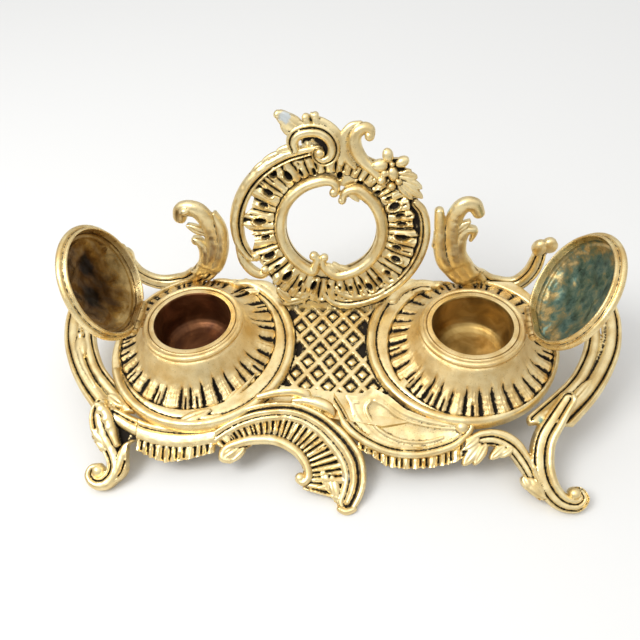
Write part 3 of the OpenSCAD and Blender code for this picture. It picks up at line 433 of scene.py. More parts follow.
moulding = (band + (bead - band) * beaded) * ramp(well, 45.0, 46.4) + 0.15
cell_x, cell_y, bar_w, trellis_y = 6.2, 7.9, 2.6, 3.65
reach = math.hypot(cell_x, cell_y)
pitch = 2 * cell_x * cell_y / reach
bars = np.minimum(*(
    np.abs((tray.X * cell_y + side * (tray.Y - trellis_y) * cell_x) / reach / pitch % 1 - 0.5) * pitch
    for side in (-1, 1)))
trellis = tray.polygon([(-36, 27.6), (-14, 24.6), (14, 24.6), (36, 27.6), (33, -33), (6, -32), (-34, -28)])
trellis = np.minimum(trellis, -0.6 - ring)
bar_side = np.interp(bars, [bar_w / 2 - .35, bar_w / 2, bar_w / 2 + .25], [1.6, 1.35, -.6])
ground = np.where(trellis > 0, bar_side, 1.6)
ground = np.where(ring > -0.6, np.interp(ring, [-.6, -.2, 0], [1.0, .2, .4]), ground)
tray.lay(outline, np.where(ring > 0, moulding, ground))
# the ends of the beads: a leaf and a volute on the left ring, a volute on the right one
tray.leaf((-78, -54.0), (-62, -46.2), 6.0, 3.6, 1.5)
tray.scroll([(-70, -50.6, 3), (-62, -50.8, 3), (-56.6, -49.4, 2)], 1.2, 3.2)
tray.scroll([(-34.2, 31, 6), (-37.4, 36.5, 6.4), (-42.8, 40.6, 6.2), (-50, 41.9, 5.4), (-57, 42.2, 4.8),
             (-61.6, 40.2, 4), (-61.4, 37.4, 3.2)], 2.9, 2.2)
tray.knob(-60.6, 38.4, 2.0, 3.2)
tray.scroll([(-62, 42.6, 3), (-68, 43.6, 3.6), (-73.6, 43.4, 3.4), (-76, 41, 2.6)], 2.0, 2.4)
tray.leaf((-44, 36.5), (-57.6, 35.6), 4.2, 2.4, 1.6)
tray.leaf((-41, -21), (-56, -41.5), 5.2, 2.3, 1.3)
tray.scroll([(34.6, 30, 6), (38.4, 36.6, 6.6), (44.4, 41, 6.6), (51.4, 42.8, 6), (58, 42.4, 5.2),
             (62, 41.6, 3.6)], 2.9, 2.2)
tray.knob(61.8, 42.2, 2.6, 3.0)
tray.scroll([(47, 36.4, 2.4), (52, 38.6, 3.2), (56.6, 38.4, 2.6)], 1.6, 2.5)
tray.leaf((39.6, -29.5), (45.4, -19), 5.0, 2.4, 1.4)
tray.cut(well_seat - well)
tray.cut(tray.Y - back_edge)
tray.chase(0.05, 5)
pour("tray", tray, tilted(*on_tray), 2.5, stand_brass, ["tray_casting"])

# Trellis studs. Small uneven faceted pyramids of the tray's own brass, one cast in the middle of each
# diamond. Their sides stay black and their tops are rubbed bright.


def set_out(name, spots, turns, piece, size, uneven, twist, material, nodes):
    """Repeats one small piece at many places with Geometry Nodes and keeps the result as a mesh."""
    group = bpy.data.node_groups.new(name + " layout", "GeometryNodeTree")
    for socket, kind in (("Geometry", "Geometry"), ("Piece", "Object"), ("Size", "Float"),
                         ("Uneven", "Float"), ("Twist", "Float"), ("Seed", "Int"),
                         ("Material", "Material")):
        group.interface.new_socket(name=socket, in_out="INPUT", socket_type="NodeSocket" + kind)
    group.interface.new_socket(name="Geometry", in_out="OUTPUT", socket_type="NodeSocketGeometry")
    node = {key: group.nodes.new(kind) for key, kind in (
        ("piece", "GeometryNodeObjectInfo"), ("set", "GeometryNodeInstanceOnPoints"),
        ("real", "GeometryNodeRealizeInstances"), ("metal", "GeometryNodeSetMaterial"),
        ("turn", "GeometryNodeInputNamedAttribute"), ("in", "NodeGroupInput"), ("out", "NodeGroupOutput"),
        ("size", "FunctionNodeRandomValue"), ("wind", "FunctionNodeRandomValue"),
        ("euler", "FunctionNodeEulerToRotation"), ("roll", "FunctionNodeRotateRotation"),
        ("spin", "FunctionNodeAxisAngleToRotation"), ("axis", "ShaderNodeMath"), ("low", "ShaderNodeMath"),
        ("high", "ShaderNodeMath"))}
    node["size"].data_type, node["wind"].data_type = "FLOAT_VECTOR", "FLOAT"
    node["turn"].data_type = "FLOAT_VECTOR"
    node["turn"].inputs["Name"].default_value = "turn"
    node["roll"].rotation_space = "LOCAL"
    node["low"].operation, node["high"].operation, node["axis"].operation = "SUBTRACT", "ADD", "MULTIPLY"
    node["axis"].inputs[1].default_value = -1.0
    for start, end in ((("in", "Piece"), ("piece", "Object")), (("in", "Geometry"), ("set", "Points")),
                       (("piece", "Geometry"), ("set", "Instance")), (("in", "Size"), ("low", 0)),
                       (("in", "Uneven"), ("low", 1)), (("in", "Size"), ("high", 0)),
                       (("in", "Uneven"), ("high", 1)), (("low", 0), ("size", 0)),
                       (("high", 0), ("size", 1)), (("in", "Seed"), ("size", "Seed")),
                       (("in", "Seed"), ("wind", "Seed")), (("in", "Twist"), ("axis", 0)),
                       (("axis", 0), ("wind", 2)), (("in", "Twist"), ("wind", 3)),
                       (("wind", 1), ("spin", "Angle")), (("turn", 0), ("euler", 0)),
                       (("euler", 0), ("roll", 0)), (("spin", 0), ("roll", 1)),
                       (("roll", 0), ("set", "Rotation")), (("size", 0), ("set", "Scale")),
                       (("set", 0), ("real", 0)), (("real", 0), ("metal", 0)),
                       (("in", "Material"), ("metal", "Material")), (("metal", 0), ("out", 0))):
        group.links.new(node[start[0]].outputs[start[1]], node[end[0]].inputs[end[1]])
    plan = bpy.data.meshes.new(name + " spots")
    plan.from_pydata((np.asarray(spots) / 1000).tolist(), [], [])
    plan.attributes.new("turn", "FLOAT_VECTOR", "POINT").data.foreach_set("vector",
        np.asarray(turns, np.float32).ravel())
    holder = bpy.data.objects.new(name + " plan", plan)
    bpy.context.scene.collection.objects.link(holder)
    bpy.context.scene.collection.objects.link(piece)
    modifier = holder.modifiers.new("layout", "NODES")
    modifier.node_group = group
    for socket in group.interface.items_tree:
        given = {"Piece": piece, "Size": size, "Uneven": uneven, "Twist": twist, "Seed": 7,
                 "Material": material}
        if socket.in_out == "INPUT" and socket.name in given:
            modifier[socket.identifier] = given[socket.name]
    holder.update_tag()
    shape = bpy.data.meshes.new_from_object(holder.evaluated_get(bpy.context.evaluated_depsgraph_get()))
    holder.modifiers.clear()
    for spare in (holder, piece):
        bpy.data.objects.remove(spare)
    result = bpy.data.objects.new(name, shape)
    bpy.context.scene.collection.objects.link(result)
    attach(result, "stand")
    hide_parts(*nodes)
    return result


corner = [(math.cos(a), math.sin(a)) for a in np.radians((0, 42, 90, 137, 180, 226, 270, 315))]
wide = (3.0, 2.3, 2.9, 2.25, 3.05, 2.3, 2.95, 2.2)
levels = ((1.0, -0.9, 1.0), (1.0, -0.2, 0.95), (0.92, 0.25, 0.35), (0.66, 0.95, 0.05), (0.44, 1.25, 0.0),
          (0.2, 1.36, 0.0))
stud_points = [(c[0] * w * share / 1000, c[1] * w * share / 1000, z / 1000) for share, z,
               _ in levels for c, w in zip(corner, wide)]
stud_faces = [(i * 8 + j, i * 8 + (j + 1) % 8, (i + 1) * 8 + (j + 1) % 8,
               (i + 1) * 8 + j) for i in range(5) for j in range(8)]
stud_faces += [tuple(range(7, -1, -1)), tuple(range(40, 48))]
stud_mesh = bpy.data.meshes.new("stud")
stud_mesh.from_pydata(stud_points, [], stud_faces)
stud_mesh.attributes.new("patina", "FLOAT", "POINT").data.foreach_set(
    "value", np.repeat([level[2] for level in levels], 8).astype(np.float32))
stud = bpy.data.objects.new("stud", stud_mesh)
spots = []
for m in range(-5, 6):
    for k in range(-5, 6):
        x, y = cell_x * (m + k), trellis_y + cell_y * (m - k)
        if -28 < y < 22 and all(math.hypot(x - c[0], y - c[1]) > ring_r + 3 for c in (left_ring, right_ring)):
            spots.append((x, y, 0.0))
spots = tilted(*on_tray)(np.array(spots)) * 1000
set_out("trellis_studs", spots, [(math.radians(on_tray[3]), 0, 0)] * len(spots), stud, 1.0, 0.09,
        math.radians(7), stand_brass, ["tray_casting"])

# Left and right loops. Open C scrolls that close the ends of the stand, cast as an outer and an
# inner moulding with a dark line between them, and brazed to the tray's ring mouldings.
rim_left = (np.array([-1, -.94, -.8, -.5, -.15, .1, .24, .32, .39, .46, .58, .74, .9, 1]),
            np.array([.28, .52, .78, .96, 1, .93, .76, .50, .44, .56, .78, .84, .66, .32]))
rim_right = (-rim_left[0][::-1], rim_left[1][::-1])
outer_bow = [(125.5, 50.5, 6), (140, 51, 8), (154, 42, 9), (159.1, 24, 9), (156.5, 4, 9),
             (149, -13, 9.5), (139, -28, 10), (127, -41, 11), (119, -49, 11)]
inner_bow = [(139, 38, 4), (146, 29, 6), (147.5, 17, 7.5), (145, 2, 8), (139, -12, 8), (130, -25, 8),
             (109, -45, 8)]
for name, mirror in (("left_loop", True), ("right_loop", False)):
    loop = Casting(104, 165, -56, 56, seed=11 + mirror)
    loop.scroll([(x - 3.2, y + 1.5, 5) for x, y, w in outer_bow[3:]] + [(112, -50, 5)], 1.2, -0.6)
    loop.scroll(outer_bow, 4.8, -1.8, rim_left)
    loop.scroll(inner_bow, 4.4, -1.8, rim_right)
    loop.knob(139, 38.5, 3.2, 0.5)
    loop.leaf((152, 45), (137, 36), 8.5, 1.5, 2.2)
    loop.leaf((150, 38), (140, 30), 5, 1.5, 1.6)
    if mirror:
        loop.leaf((144, -14), (150, 2), 7.5, 1.6, 2.4)
        loop.knob(149, 1.5, 2.2, 2.6)
        loop.scroll([(149, 0, 2), (147, -9, 3), (141, -20, 3), (131, -33, 2)], 1.6, 2.2)
    else:
        loop.leaf((128, -36), (141, -21), 5.5, 2.2, 1.4)
    loop.leaf((122, -38), (112, -45), 6, 2, 1.4)
    ring_c = left_ring if mirror else right_ring
    loop.cut(ring_r + 0.15 - np.hypot(loop.X - abs(ring_c[0]), loop.Y - ring_c[1]))
    loop.cut(-47.6 - loop.Y)
    loop.chase(0.05, 6)
    pour(name, loop, tilted(*on_tray, mirror=-1 if mirror else 1), 1.9, stand_brass, [name], mirror,
         hollow=3.2)

# Left apron. A frieze that hangs under the tray's front edge: a plain hollow band over a row of
# upright flutes with a scalloped lower edge, the grooves between them left black.
on_front = (0, -32, 25.5, 33.2)


def flute_row(sheet, u, t, inside, base, rise, groove, seed, later=0.0):
    """Uneven flutes side by side: u counts them and t runs from their roots, 0, to their ends, 1."""
    random = np.random.default_rng(seed)
    count = int(np.ceil(u.max())) + 4
    shift = random.uniform(-0.28, 0.28, count)
    k = np.clip(np.floor(u).astype(int) + 1, 0, count - 2)
    low = k - 1 + shift[k]
    k = np.where(u < low, k - 1, k)
    k = np.where(u >= k + shift[np.minimum(k + 1, count - 1)], k + 1, k)
    k = np.clip(k, 0, count - 2)
    low, high = k - 1 + shift[k], k + shift[k + 1]
    crown = np.sin(math.pi * np.clip((u - low) / (high - low), 0, 1)) ** 0.55
    start, stop = random.uniform(-0.05, 0.35, count)[k] + later, random.uniform(0.72, 1.1, count)[k]
    strength = random.uniform(0.45, 1.15, count)[k]
    slit = ramp(t, start - 0.12, start + 0.06) * ramp(-t, -stop - 0.05, -stop + 0.08)
    split = random.uniform(0, 1, count)[k] < 0.45
    fork = np.exp(-(((u - low) / (high - low) - 0.5) / 0.11) ** 2) * split
    fork = fork * ramp(t, 0.45, 0.6) * ramp(-t, -0.95, -0.85)
    chased = 0.16 * np.sin(u * 2 * math.pi * 3.1 + strength * 9 + 3 * t) * ramp(t, 0.1, 0.4) * crown
    top = base + rise * (0.55 + 0.45 * strength) * crown * ramp(t, -0.25, 0.5) + chased
    top = top - groove * (1 - crown) ** 0.9 * slit * (0.55 + 0.5 * strength) - groove * 0.7 * fork
    sheet.lay(inside + 0.9 * crown - 0.8, top)


apron = Casting(-120, -50, -32, 6, seed=21)
apron.scroll([(-112, -3, 9), (-102, -9, 10), (-88, -12.2, 11), (-72, -12.2, 11), (-56, -9, 10)], 2.6, 0.2,
             rim_left)
u = (apron.X + 104) / 4.1
foot_line = np.interp(apron.X, [-104, -100.7, -94.6, -86.2, -75.9, -66.8, -58.9, -52], [-19.5, -21, -24,
    -26.4, -24.9, -22.4, -20, -18])
head_line = np.interp(apron.X, [-104, -95, -80, -60], [-13, -15.5, -16.5, -13.5])
flute_row(apron, u, (head_line - apron.Y) / (head_line - foot_line), np.minimum(apron.Y - foot_line,
    head_line + 2 - apron.Y), 0.3, 2.1, 1.6, 5)
apron.cut(apron.X + 59.4)
apron.cut(-102.8 - apron.X)
apron.chase(0.07, 4)
pour("left_apron", apron, tilted(*on_front), 1.8, stand_brass, ["left_apron"], hollow=2.2)

# Front arch. The big pierced scroll left of the middle that comes down as the centre foot: a broad
# polished moulding round a fluted fan, an inner scroll with two volutes and two leaf curls above.
arch = Casting(-62, 27, -54, 14, seed=31)
fan = (-30, -33)
r = np.hypot(arch.X - fan[0], arch.Y - fan[1])
turn = np.degrees(np.arctan2(arch.Y - fan[1], arch.X - fan[0]))
turn = np.where(turn < -60, turn + 360, turn)
rim = 43 - 0.062 * np.clip(turn + 14, 0, 165)
flute_row(arch, (turn + 16) / 6.4, (r - 20) / (rim - 22), np.minimum(np.minimum(rim - r, r - 19.5),
    np.minimum(turn + 15, 150 - turn) * 0.5), 0.2, 2.4, 1.7, 8, 0.25)
brow = (np.array([-1, -.95, -.86, -.7, -.52, -.42, -.32, -.2, 0.02, .16, .24, .34, .46, .6, .85, .95, 1]),
        np.array([.26, .42, .58, .70, .74, .62, .66, .86, 1.0, .94, .66, .52, .58, .80, .84, .66, .34]))
arch.scroll([(-64, -14, 10), (-58.8, -9.5, 10.5), (-48.9, -3.4, 10.5), (-35.4, 1.4, 10.5),
             (-18.4, 2.6, 10.8), (-4.4, -2.6, 11.5), (6.8, -12, 13), (13.8, -21.5, 13.8),
             (15.8, -30.5, 13), (14.8, -37.5, 12.6), (12.6, -43.2, 11)], 5.4, -0.6, brow)
arch.scroll([(-50.6, -24, 3.4), (-54.6, -22.6, 4.6), (-53, -18, 5), (-46, -14.6, 5.4), (-37, -12.6, 5.4),
             (-26, -12.8, 5.4), (-15.8, -17.6, 5.2), (-9.9, -24.4, 4.8), (-8.2, -30.6, 4.4),
             (-10.6, -34, 4), (-13.4, -32.8, 3.2)], 3.6, 0.3)
arch.knob(-12.6, -31.6, 2.6, 1.4)
arch.leaf((-46, -16.5), (-56, -23.5), 6, 1.4, 2.4)
arch.leaf((-43, -17), (-50.5, -25), 4.4, 0.9, 2.2)
arch.leaf((-57, -9), (-50, -16), 4.5, 0.6, 2)
arch.leaf((4, -30), (7.6, -44), 6.5, 0.4, 2.6)
arch.leaf((-1.5, -27), (4.5, -40), 5, 0.2, 2.2)
arch.scroll([(-36.6, 10.2, 3.4), (-28, 12.6, 4.8), (-21.1, 13.8, 6), (-15.4, 13.9, 6.6), (-11, 12.1, 5.4),
             (-9.6, 9.2, 2.6)], 3.4, 1.4)
arch.scroll([(-17.4, 8.6, 3), (-10.5, 8.7, 4.6), (-3.5, 7.6, 6.2), (1.7, 5.2, 5.6), (4.2, 1.9, 2.6)], 3.4,
            1.2)
arch.scroll([(8.9, -46.7, 3.4), (12.4, -47.8, 4), (15.9, -46.6, 3.4)], 3.0, 1.4)
arch.cut(-59.2 - arch.X)
arch.chase(0.05, 5)
pour("front_arch", arch, tilted(*on_front), 2.6, stand_brass, ["front_arch"], floor=0.0, hollow=3.4)

# Rocaille leaf. A long shell-like leaf right of the middle, a smooth bowl inside a rolled rim with
# a sunk teardrop, a small curl at its root and a ball at its tip.
rocaille = Casting(4, 84, -23, 19, seed=41)
bowl = rocaille.polygon([(10.9, 12.4), (16.5, 11.7), (24.4, 16.7), (34, 11.8), (42, 5.6), (53.8, 1.3),
                         (67.8, -0.7), (73.2, -4.4), (69.4, -10.7), (57.8, -14.9), (42.3, -16.2),
                         (26.5, -11.3), (15.2, -1.4)])
tear = rocaille.polygon([(22.2, 7.9), (25.3, 9.5), (30.1, 7.7), (36.5, 2.3), (45.2, -0.9), (57.7, -2.9),
                         (68.2, -3.8), (68.6, -5.5), (61.6, -8.5), (51.6, -11.1), (40.6, -10.7),
                         (31.2, -7.1), (24.7, -1.1), (21.8, 4.3)])
dip = soften(ramp(tear, -0.4, 1.6), 45)
rocaille.lay(bowl, 1.9 - 1.3 * dip + 0.35 * ramp(-bowl, -3, 0))
rocaille.scroll([(-3, 20.4, 4), (2.1, 11.7, 5), (6.7, 4.6, 5.6), (12.1, -3.9, 6), (21, -10.7, 6.2),
                 (34.4, -16.1, 6.2), (50, -16.7, 6.2), (64.6, -12.8, 5.8), (72.3, -7.5, 5),
                 (75.8, -2.4, 4.4), (73.1, 0.6, 3.4), (69.3, 0.1, 2.6)], 4.0, -0.4, rim_left)
for line, high in (([(23.6, 9.3, 1.6), (21.4, 5.9, 2), (23.3, 0.4, 2), (29.6, -6.3, 2),
                     (39.8, -10.7, 1.8), (51.6, -11.3, 1.6), (61.6, -8.6, 1.2)], 0.75),
                   ([(26.1, 9.6, 1.4), (31.7, 6.9, 1.6), (37.3, 2.4, 1.6), (46, -1.2, 1.5),
                     (57.7, -3.2, 1.3), (67.8, -3.9, 1)], 0.5), ([(17, 8.5, 1.6), (14.2, 7.7, 2),
        (16.3, 1.8, 2.2), (22.4, -5.5, 2.2), (30, -11, 2), (40.7, -14.1, 1.8), (53.1, -14.5, 1.4)], 0.8),
                   ([(10.9, 11.6, 1.6), (13.4, 8.4, 2), (15.1, 1.7, 2)], 0.8), ([(28.4, 13.2, 1.6),
        (35.7, 7, 1.8), (43.6, 2.5, 1.8), (54.6, -0.7, 1.6), (64.7, -2.2, 1.2)], 0.5)):
    rocaille.scroll(line, high, 1.6)
rocaille.knob(71.6, -2.8, 3.7, 1.0, 0.9)
rocaille.chase(0.05, 5)
rocaille.cut(rocaille.polygon([(-4, 14), (6.5, 4), (9, -8), (3, -20), (-10, -20)]) - 0.1)
pour("rocaille_leaf", rocaille, tilted(*on_front), 2.2, stand_brass, ["rocaille_leaf"], hollow=2.6)

# Right apron. The same fluted frieze as on the left, hung under the long leaf between the arch
# and the right foot, in shadow and little polished.
apron = Casting(12, 76, -31, 0, seed=51)
foot_line = np.interp(apron.X, [12, 24.1, 32.6, 41.9, 54.7, 65.7, 73], [-14, -18.6, -24.4, -25.4, -24.4,
    -22, -18.4])
head_line = np.interp(apron.X, [12, 27, 39, 51, 63, 73], [-8, -14.5, -17.2, -17.4, -15.4, -10.5])
flute_row(apron, (apron.X - 8) / 4.2, (head_line - apron.Y) / (head_line - foot_line),
          np.minimum(apron.Y - foot_line, head_line + 2.5 - apron.Y), -0.5, 2.0, 1.6, 17)
apron.cut(apron.X - 72.2)
apron.cut(17.6 - apron.X)
apron.chase(0.07, 4)
pour("right_apron", apron, tilted(*on_front), 1.6, stand_brass, ["right_apron"], hollow=2.2)

# Left front foot. A scrolled leg with a cluster of buds at its head, a rounded leaf beside it and
# a toe that curls up. Its back is cast hollow, and it is brazed under the loop.
foot = Casting(-134, -96, -46, 8, seed=61)
foot.lay(foot.polygon([(-125.2, 1.1), (-111.4, -3.5), (-102.9, -8.2), (-102.3, -16.6), (-105.9, -26.4),
                       (-112.5, -35), (-116.8, -26.8), (-122.1, -17.2)]), 0.3)
foot.sink(foot.polygon([(-116.1, -7.8), (-111, -8.4), (-107.5, -11.1), (-108.9, -15.7), (-113.1, -19),
                        (-115.6, -14.2)]), 1.5, 0.8)
foot.scroll([(-119.4, -0.1, 5), (-115.2, -2.2, 7), (-109, -5.6, 8.4), (-103.7, -7.9, 9),
             (-97.7, -9.6, 9.6)], 3.2, 0.2, rim_left)
foot.scroll([(-124.6, 3.8, 8), (-125.7, -1.8, 10), (-124.4, -8.1, 10.4), (-121.9, -14, 9.6),
             (-117.9, -19.9, 8.6), (-115.1, -25.3, 8.2), (-114.1, -30.1, 8.4), (-115.7, -35, 8.6),
             (-119.7, -38.4, 8), (-124.9, -38.1, 6.6), (-127.8, -34.7, 5.4), (-126.8, -30.9, 4.6),
             (-123.4, -29.9, 4)], 5.0, -0.6, rim_right)
foot.scroll([(-102.4, -19.4, 5), (-104.7, -18.4, 7.6), (-107.7, -21.3, 8.6), (-109.6, -26.5, 8),
             (-111.2, -32.1, 7), (-114.8, -36.7, 5)], 4.4, 0.0, rim_left)
foot.scroll([(-126.1, 3.7, 3), (-123.3, 2.2, 5), (-120, -2, 5.6), (-117.9, -7.2, 5.4),
             (-115.7, -12.1, 4.6), (-113, -17.6, 3.4)], 3.0, 2.6)
for x, y, r in [(-123, 1.1, 2.8), (-119.8, -4.1, 2.7), (-117.7, -8.6, 2.4)]:
    foot.knob(x, y, r, 4.2, 0.62)
foot.knob(-123.2, -32, 3.4, 0.6, 0.9)
foot.leaf((-118, -17.1), (-127.4, -10), 7, 2.4, 1.8)
foot.leaf((-118, -20.6), (-125.3, -15.2), 5.4, 2.2, 1.6)
foot.leaf((-108.1, -25.8), (-100.3, -18.6), 6, 2.6, 1.8)
foot.leaf((-110, -25.1), (-106.6, -16), 5, 3.0, 1.6)
foot.cut(foot.Y - 6.8)
foot.cut(foot.X + 102.9 + 4 * ramp(-foot.Y, 14, 18))
foot.chase(0.09, 4)
pour("left_front_foot", foot, tilted(*on_front), 3.0, stand_brass, ["left_front_foot"], floor=0.0, hollow=5)

# Right front foot. A strap with leaves at its root springs out to a tall leg, which has a stippled
# band between two dark grooves and a curled toe. A triangular gap stays open between them.
foot = Casting(68, 138, -47, 17, seed=71)
legs = [(126, 13, 9), (119.4, 2.5, 11), (113.6, -8, 12), (112, -20, 12.4), (114.4, -30.5, 11.6),
        (120.6, -38.4, 9.6), (128, -40.4, 7.4), (132.2, -37.2, 5.6), (130.8, -33.4, 4.4),
        (127.2, -33, 3.4)]
groove_leg = (np.array([-1, -.93, -.84, -.76, -.7, -.62, -.5, -.2, .02, .1, .17, .25, .4, .62, .85, .95, 1]),
              np.array([.34, .66, .84, .80, .52, .50, .72, .76, .74, .55, .50, .74, .94, 1, .84, .56, .3]))
foot.scroll(legs, 6.0, -1.4, groove_leg)
foot.scroll([(72.5, -15.5, 6), (79, -9.6, 8), (88, -8, 9), (97, -12, 9), (103.4, -20, 8.4),
             (107.4, -28, 7), (111, -36, 5)], 5.0, -1.2, groove_leg)
foot.scroll([(74, -9.4, 2), (82, -5.4, 2.6), (92, -5.2, 2.6), (100, -9.6, 2.4), (105, -17, 2)], 2, 1.4)
foot.knob(127.6, -34.4, 3.1, 1.2, 0.9)
for tail, tip, w in (((81, -11), (71.8, -22.6), 6.2), ((84, -11), (77.4, -22.2), 5),
                     ((80, -8), (71.6, -14.6), 5.4), ((93, -12), (85.6, -18.8), 5),
                     ((97, -13), (90.4, -17.6), 4), ((104, -28), (112.6, -37.6), 7),
                     ((102, -27), (105.6, -34), 4.6)):
    foot.leaf(tail, tip, w, 2.0, 1.9)
foot.cut(73.2 - foot.X - 3 * ramp(-foot.Y, 12, 16))
foot.chase(0.06, 4)
pour("right_front_foot", foot, tilted(*on_front), 3.0, stand_brass, ["right_front_foot"], floor=0.0, hollow=5)

# Left and right rear feet. The photograph hides them: plain legs of flat bar, bent out and turned
# up at the toe, with a round pad under the tray's back corner. Their shape is the maker's choice.


def bent_bar(path, width_dir, thick, name, mirror):
    """A bar with rounded edges along a path of x, y, z and width, closed at both ends."""
    line = smooth_line(path)
    way = np.gradient(line[:, :3], axis=0)
    way /= np.linalg.norm(way, axis=1)[:, None]
    side = np.cross(way, width_dir)
    side /= np.linalg.norm(side, axis=1)[:, None]
    up = np.cross(side, way)
    a = np.linspace(0, 2 * math.pi, 28, endpoint=False)
    around_x = np.sign(np.cos(a)) * np.abs(np.cos(a)) ** 0.6 / 2
    around_y = np.sign(np.sin(a)) * np.abs(np.sin(a)) ** 0.7 / 2
    ring = line[:, None, :3] + side[:, None] * (around_x[None, :, None] * line[:, None, 3:])
    ring = ring + up[:, None] * around_y[None, :, None] * thick
    n, q = len(line), len(a)
    points = np.vstack([ring.reshape(-1, 3), line[:1, :3], line[-1:, :3]])
    last = (n - 1) * q
    faces = [[i * q + j, i * q + (j + 1) % q, (i + 1) * q + (j + 1) % q, (i + 1) * q + j]
             for i in range(n - 1) for j in range(q)]
    faces += [[(j + 1) % q, j, n * q] for j in range(q)]
    faces += [[last + j, last + (j + 1) % q, n * q + 1] for j in range(q)]
    points[:, 2] = np.maximum(points[:, 2], 0)
    if mirror:
        points[:, 0] *= -1
    else:
        faces = [face[::-1] for face in faces]
    mesh = bpy.data.meshes.new(name)
    mesh.from_pydata((points / 1000).tolist(), [], faces)
    return mesh


for name, mirror in (("left_rear_foot", True), ("right_rear_foot", False)):
    leg = [(104, 54.5, 27.4, 9), (105, 58.5, 20, 9), (106, 65, 11, 7.5), (107, 69, 3.5, 6.5),
           (107, 72, 2.6, 5), (107, 74, 5.0, 4)]
    mesh = bent_bar(leg, (0, 1, 0.2), 4.6, name, mirror)
    mesh.attributes.new("patina", "FLOAT", "POINT")
    shape = bmesh.new()
    shape.from_mesh(mesh)
    bmesh.ops.create_cone(shape, cap_ends=True, segments=48, radius1=0.005, radius2=0.005, depth=0.0034,
                                 matrix=Matrix.Translation(((-0.104 if mirror else 0.104), 0.0542, 0.0290)))
    bmesh.ops.recalc_face_normals(shape, faces=shape.faces)
    shape.to_mesh(mesh)
    shape.free()
    mesh.materials.append(stand_brass)
    mesh.shade_smooth()
    mesh.set_sharp_from_angle(angle=math.radians(50))
    piece = bpy.data.objects.new(name + "_leg", mesh)
    bpy.context.scene.collection.objects.link(piece)
    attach(piece, "stand")
    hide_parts(name)

# Back medallion. A round openwork fan on the tray's back edge: uneven radial flutes with oval pits
# in raised lips, inside two outer frames. Cast in one piece and screwed down from under the tray.
on_back = (0, 39, 36, 74)
heart = (0, 51.7)
hole = 25
back = Casting(-60, 60, -3, 103, 0.42, seed=81)
r = np.hypot(back.X - heart[0], back.Y - heart[1])
turn = np.degrees(np.arctan2(back.Y - heart[1], back.X - heart[0])) % 360
ground_edge = np.interp(turn, [0, 20, 60, 90, 125, 140, 150, 156, 205, 215, 235, 260, 285, 330, 360],
                        [50, 50, 45, 44, 47, 50, 51, 40, 40, 47, 51, 52, 50, 51, 50])
plate = np.minimum(ground_edge - r, r - hole)
base = back.polygon([(-27, -2), (27, -2), (34, 10), (26, 20), (-26, 20), (-34, 10)])
back.lay(np.maximum(plate, np.minimum(base, r - hole)), -0.6)
rim_turns = [0, 4, 10, 15, 22, 30, 40, 54, 67, 77, 91, 104, 118, 128, 137, 150, 154, 158, 163, 168, 174,
             178, 182, 186, 190, 194, 197, 201, 206, 217, 225, 241, 262, 285, 298, 308, 320, 327, 338, 347,
             355, 360]
rim_reach = [45.5, 45, 46.5, 45, 45.5, 45, 43, 40, 38.6, 38.2, 40, 41.5, 43, 46, 47.5, 50.4, 47.5, 45.4,
             44.9, 46.5, 50.8, 48, 45, 44.2, 43.8, 45.8, 48.2, 47, 45.9, 45.2, 48.4, 49, 46, 44.5, 46.5, 46,
             48.4, 47.2, 48.3, 47.4, 48.4, 45.5]
rim = np.interp(turn, rim_turns, rim_reach)
fan_flutes = 46
flute_row(back, turn / 360 * fan_flutes, (r - 31.5) / (rim - 31.5), np.minimum(rim - r, r - 31.9),
          0.7, 1.5, 1.7, 23)
swell = np.exp(-((r - 41) / 4.5) ** 2) * (np.sin(np.radians(turn) * 11) * 0.5 + 0.5)
back.top = back.top + 0.7 * swell * (back.top > -0.3)
pits = [
    (-39.3, 56.6, 3, 3.6, 1.7, .8), (-35.8, 35.2, 28, 3.7, 1.6, .8), (-26.5, 22.1, 44, 3.8, 1.7, .8),
    (-11.2, 15.8, 62, 3.6, 1.3, .7), (21.1, 16.1, -62, 3.0, 1.8, .7), (31.5, 24.8, -40, 2.2, 1.1, .4),
    (36.1, 33.6, -30, 3.2, 1.7, .5), (36.6, 40.4, -18, 2.8, 1.1, .5), (39.7, 46.8, -6, 4.2, 1.6, .8),
    (39.2, 54.6, 4, 3.0, .9, .4), (34.8, 64.7, 28, 3.4, 1.7, .8), (25.6, 72.6, 40, 1.9, 1.3, .6),
    (16.2, 77.4, 60, 2.0, 1.5, .6), (5.5, 82, 80, 2.6, 1.3, .5), (-33.4, 73.0, 147, 3.2, 1.8, .6),
    (-22.0, 82.0, 124, 3.2, 1.9, .5), (-30.2, 83.8, 135, 3.0, 2.0, .3), (-36.5, 65.6, 164, 2.6, 1.0, .5),
    (-37, 46.5, 190, 2.6, .9, .5), (-31.5, 28.5, 218, 2.4, .9, .4), (-19, 17.4, 243, 2.8, 1.0, .5),
    (-2.5, 15, 268, 1.8, 1.0, .4), (4, 14.6, 275, 1.7, 1.0, .4), (10.4, 14.8, 282, 1.8, 1.1, .4),
    (15.6, 15.6, 290, 2.2, .9, .4), (27.2, 20, 310, 2.4, 1.0, .4), (-8, 84.4, 100, 2.4, .9, .4),
    (-15, 83.6, 112, 2.6, 1.0, .4), (31.6, 69.4, 34, 2.2, .9, .4), (38, 59.6, 12, 2.8, .9, .4)]
for x, y, angle, long, wide, lip in pits:
    back.pit(x, y, angle, long, wide * 1.15, 2.6, lip * 1.2)
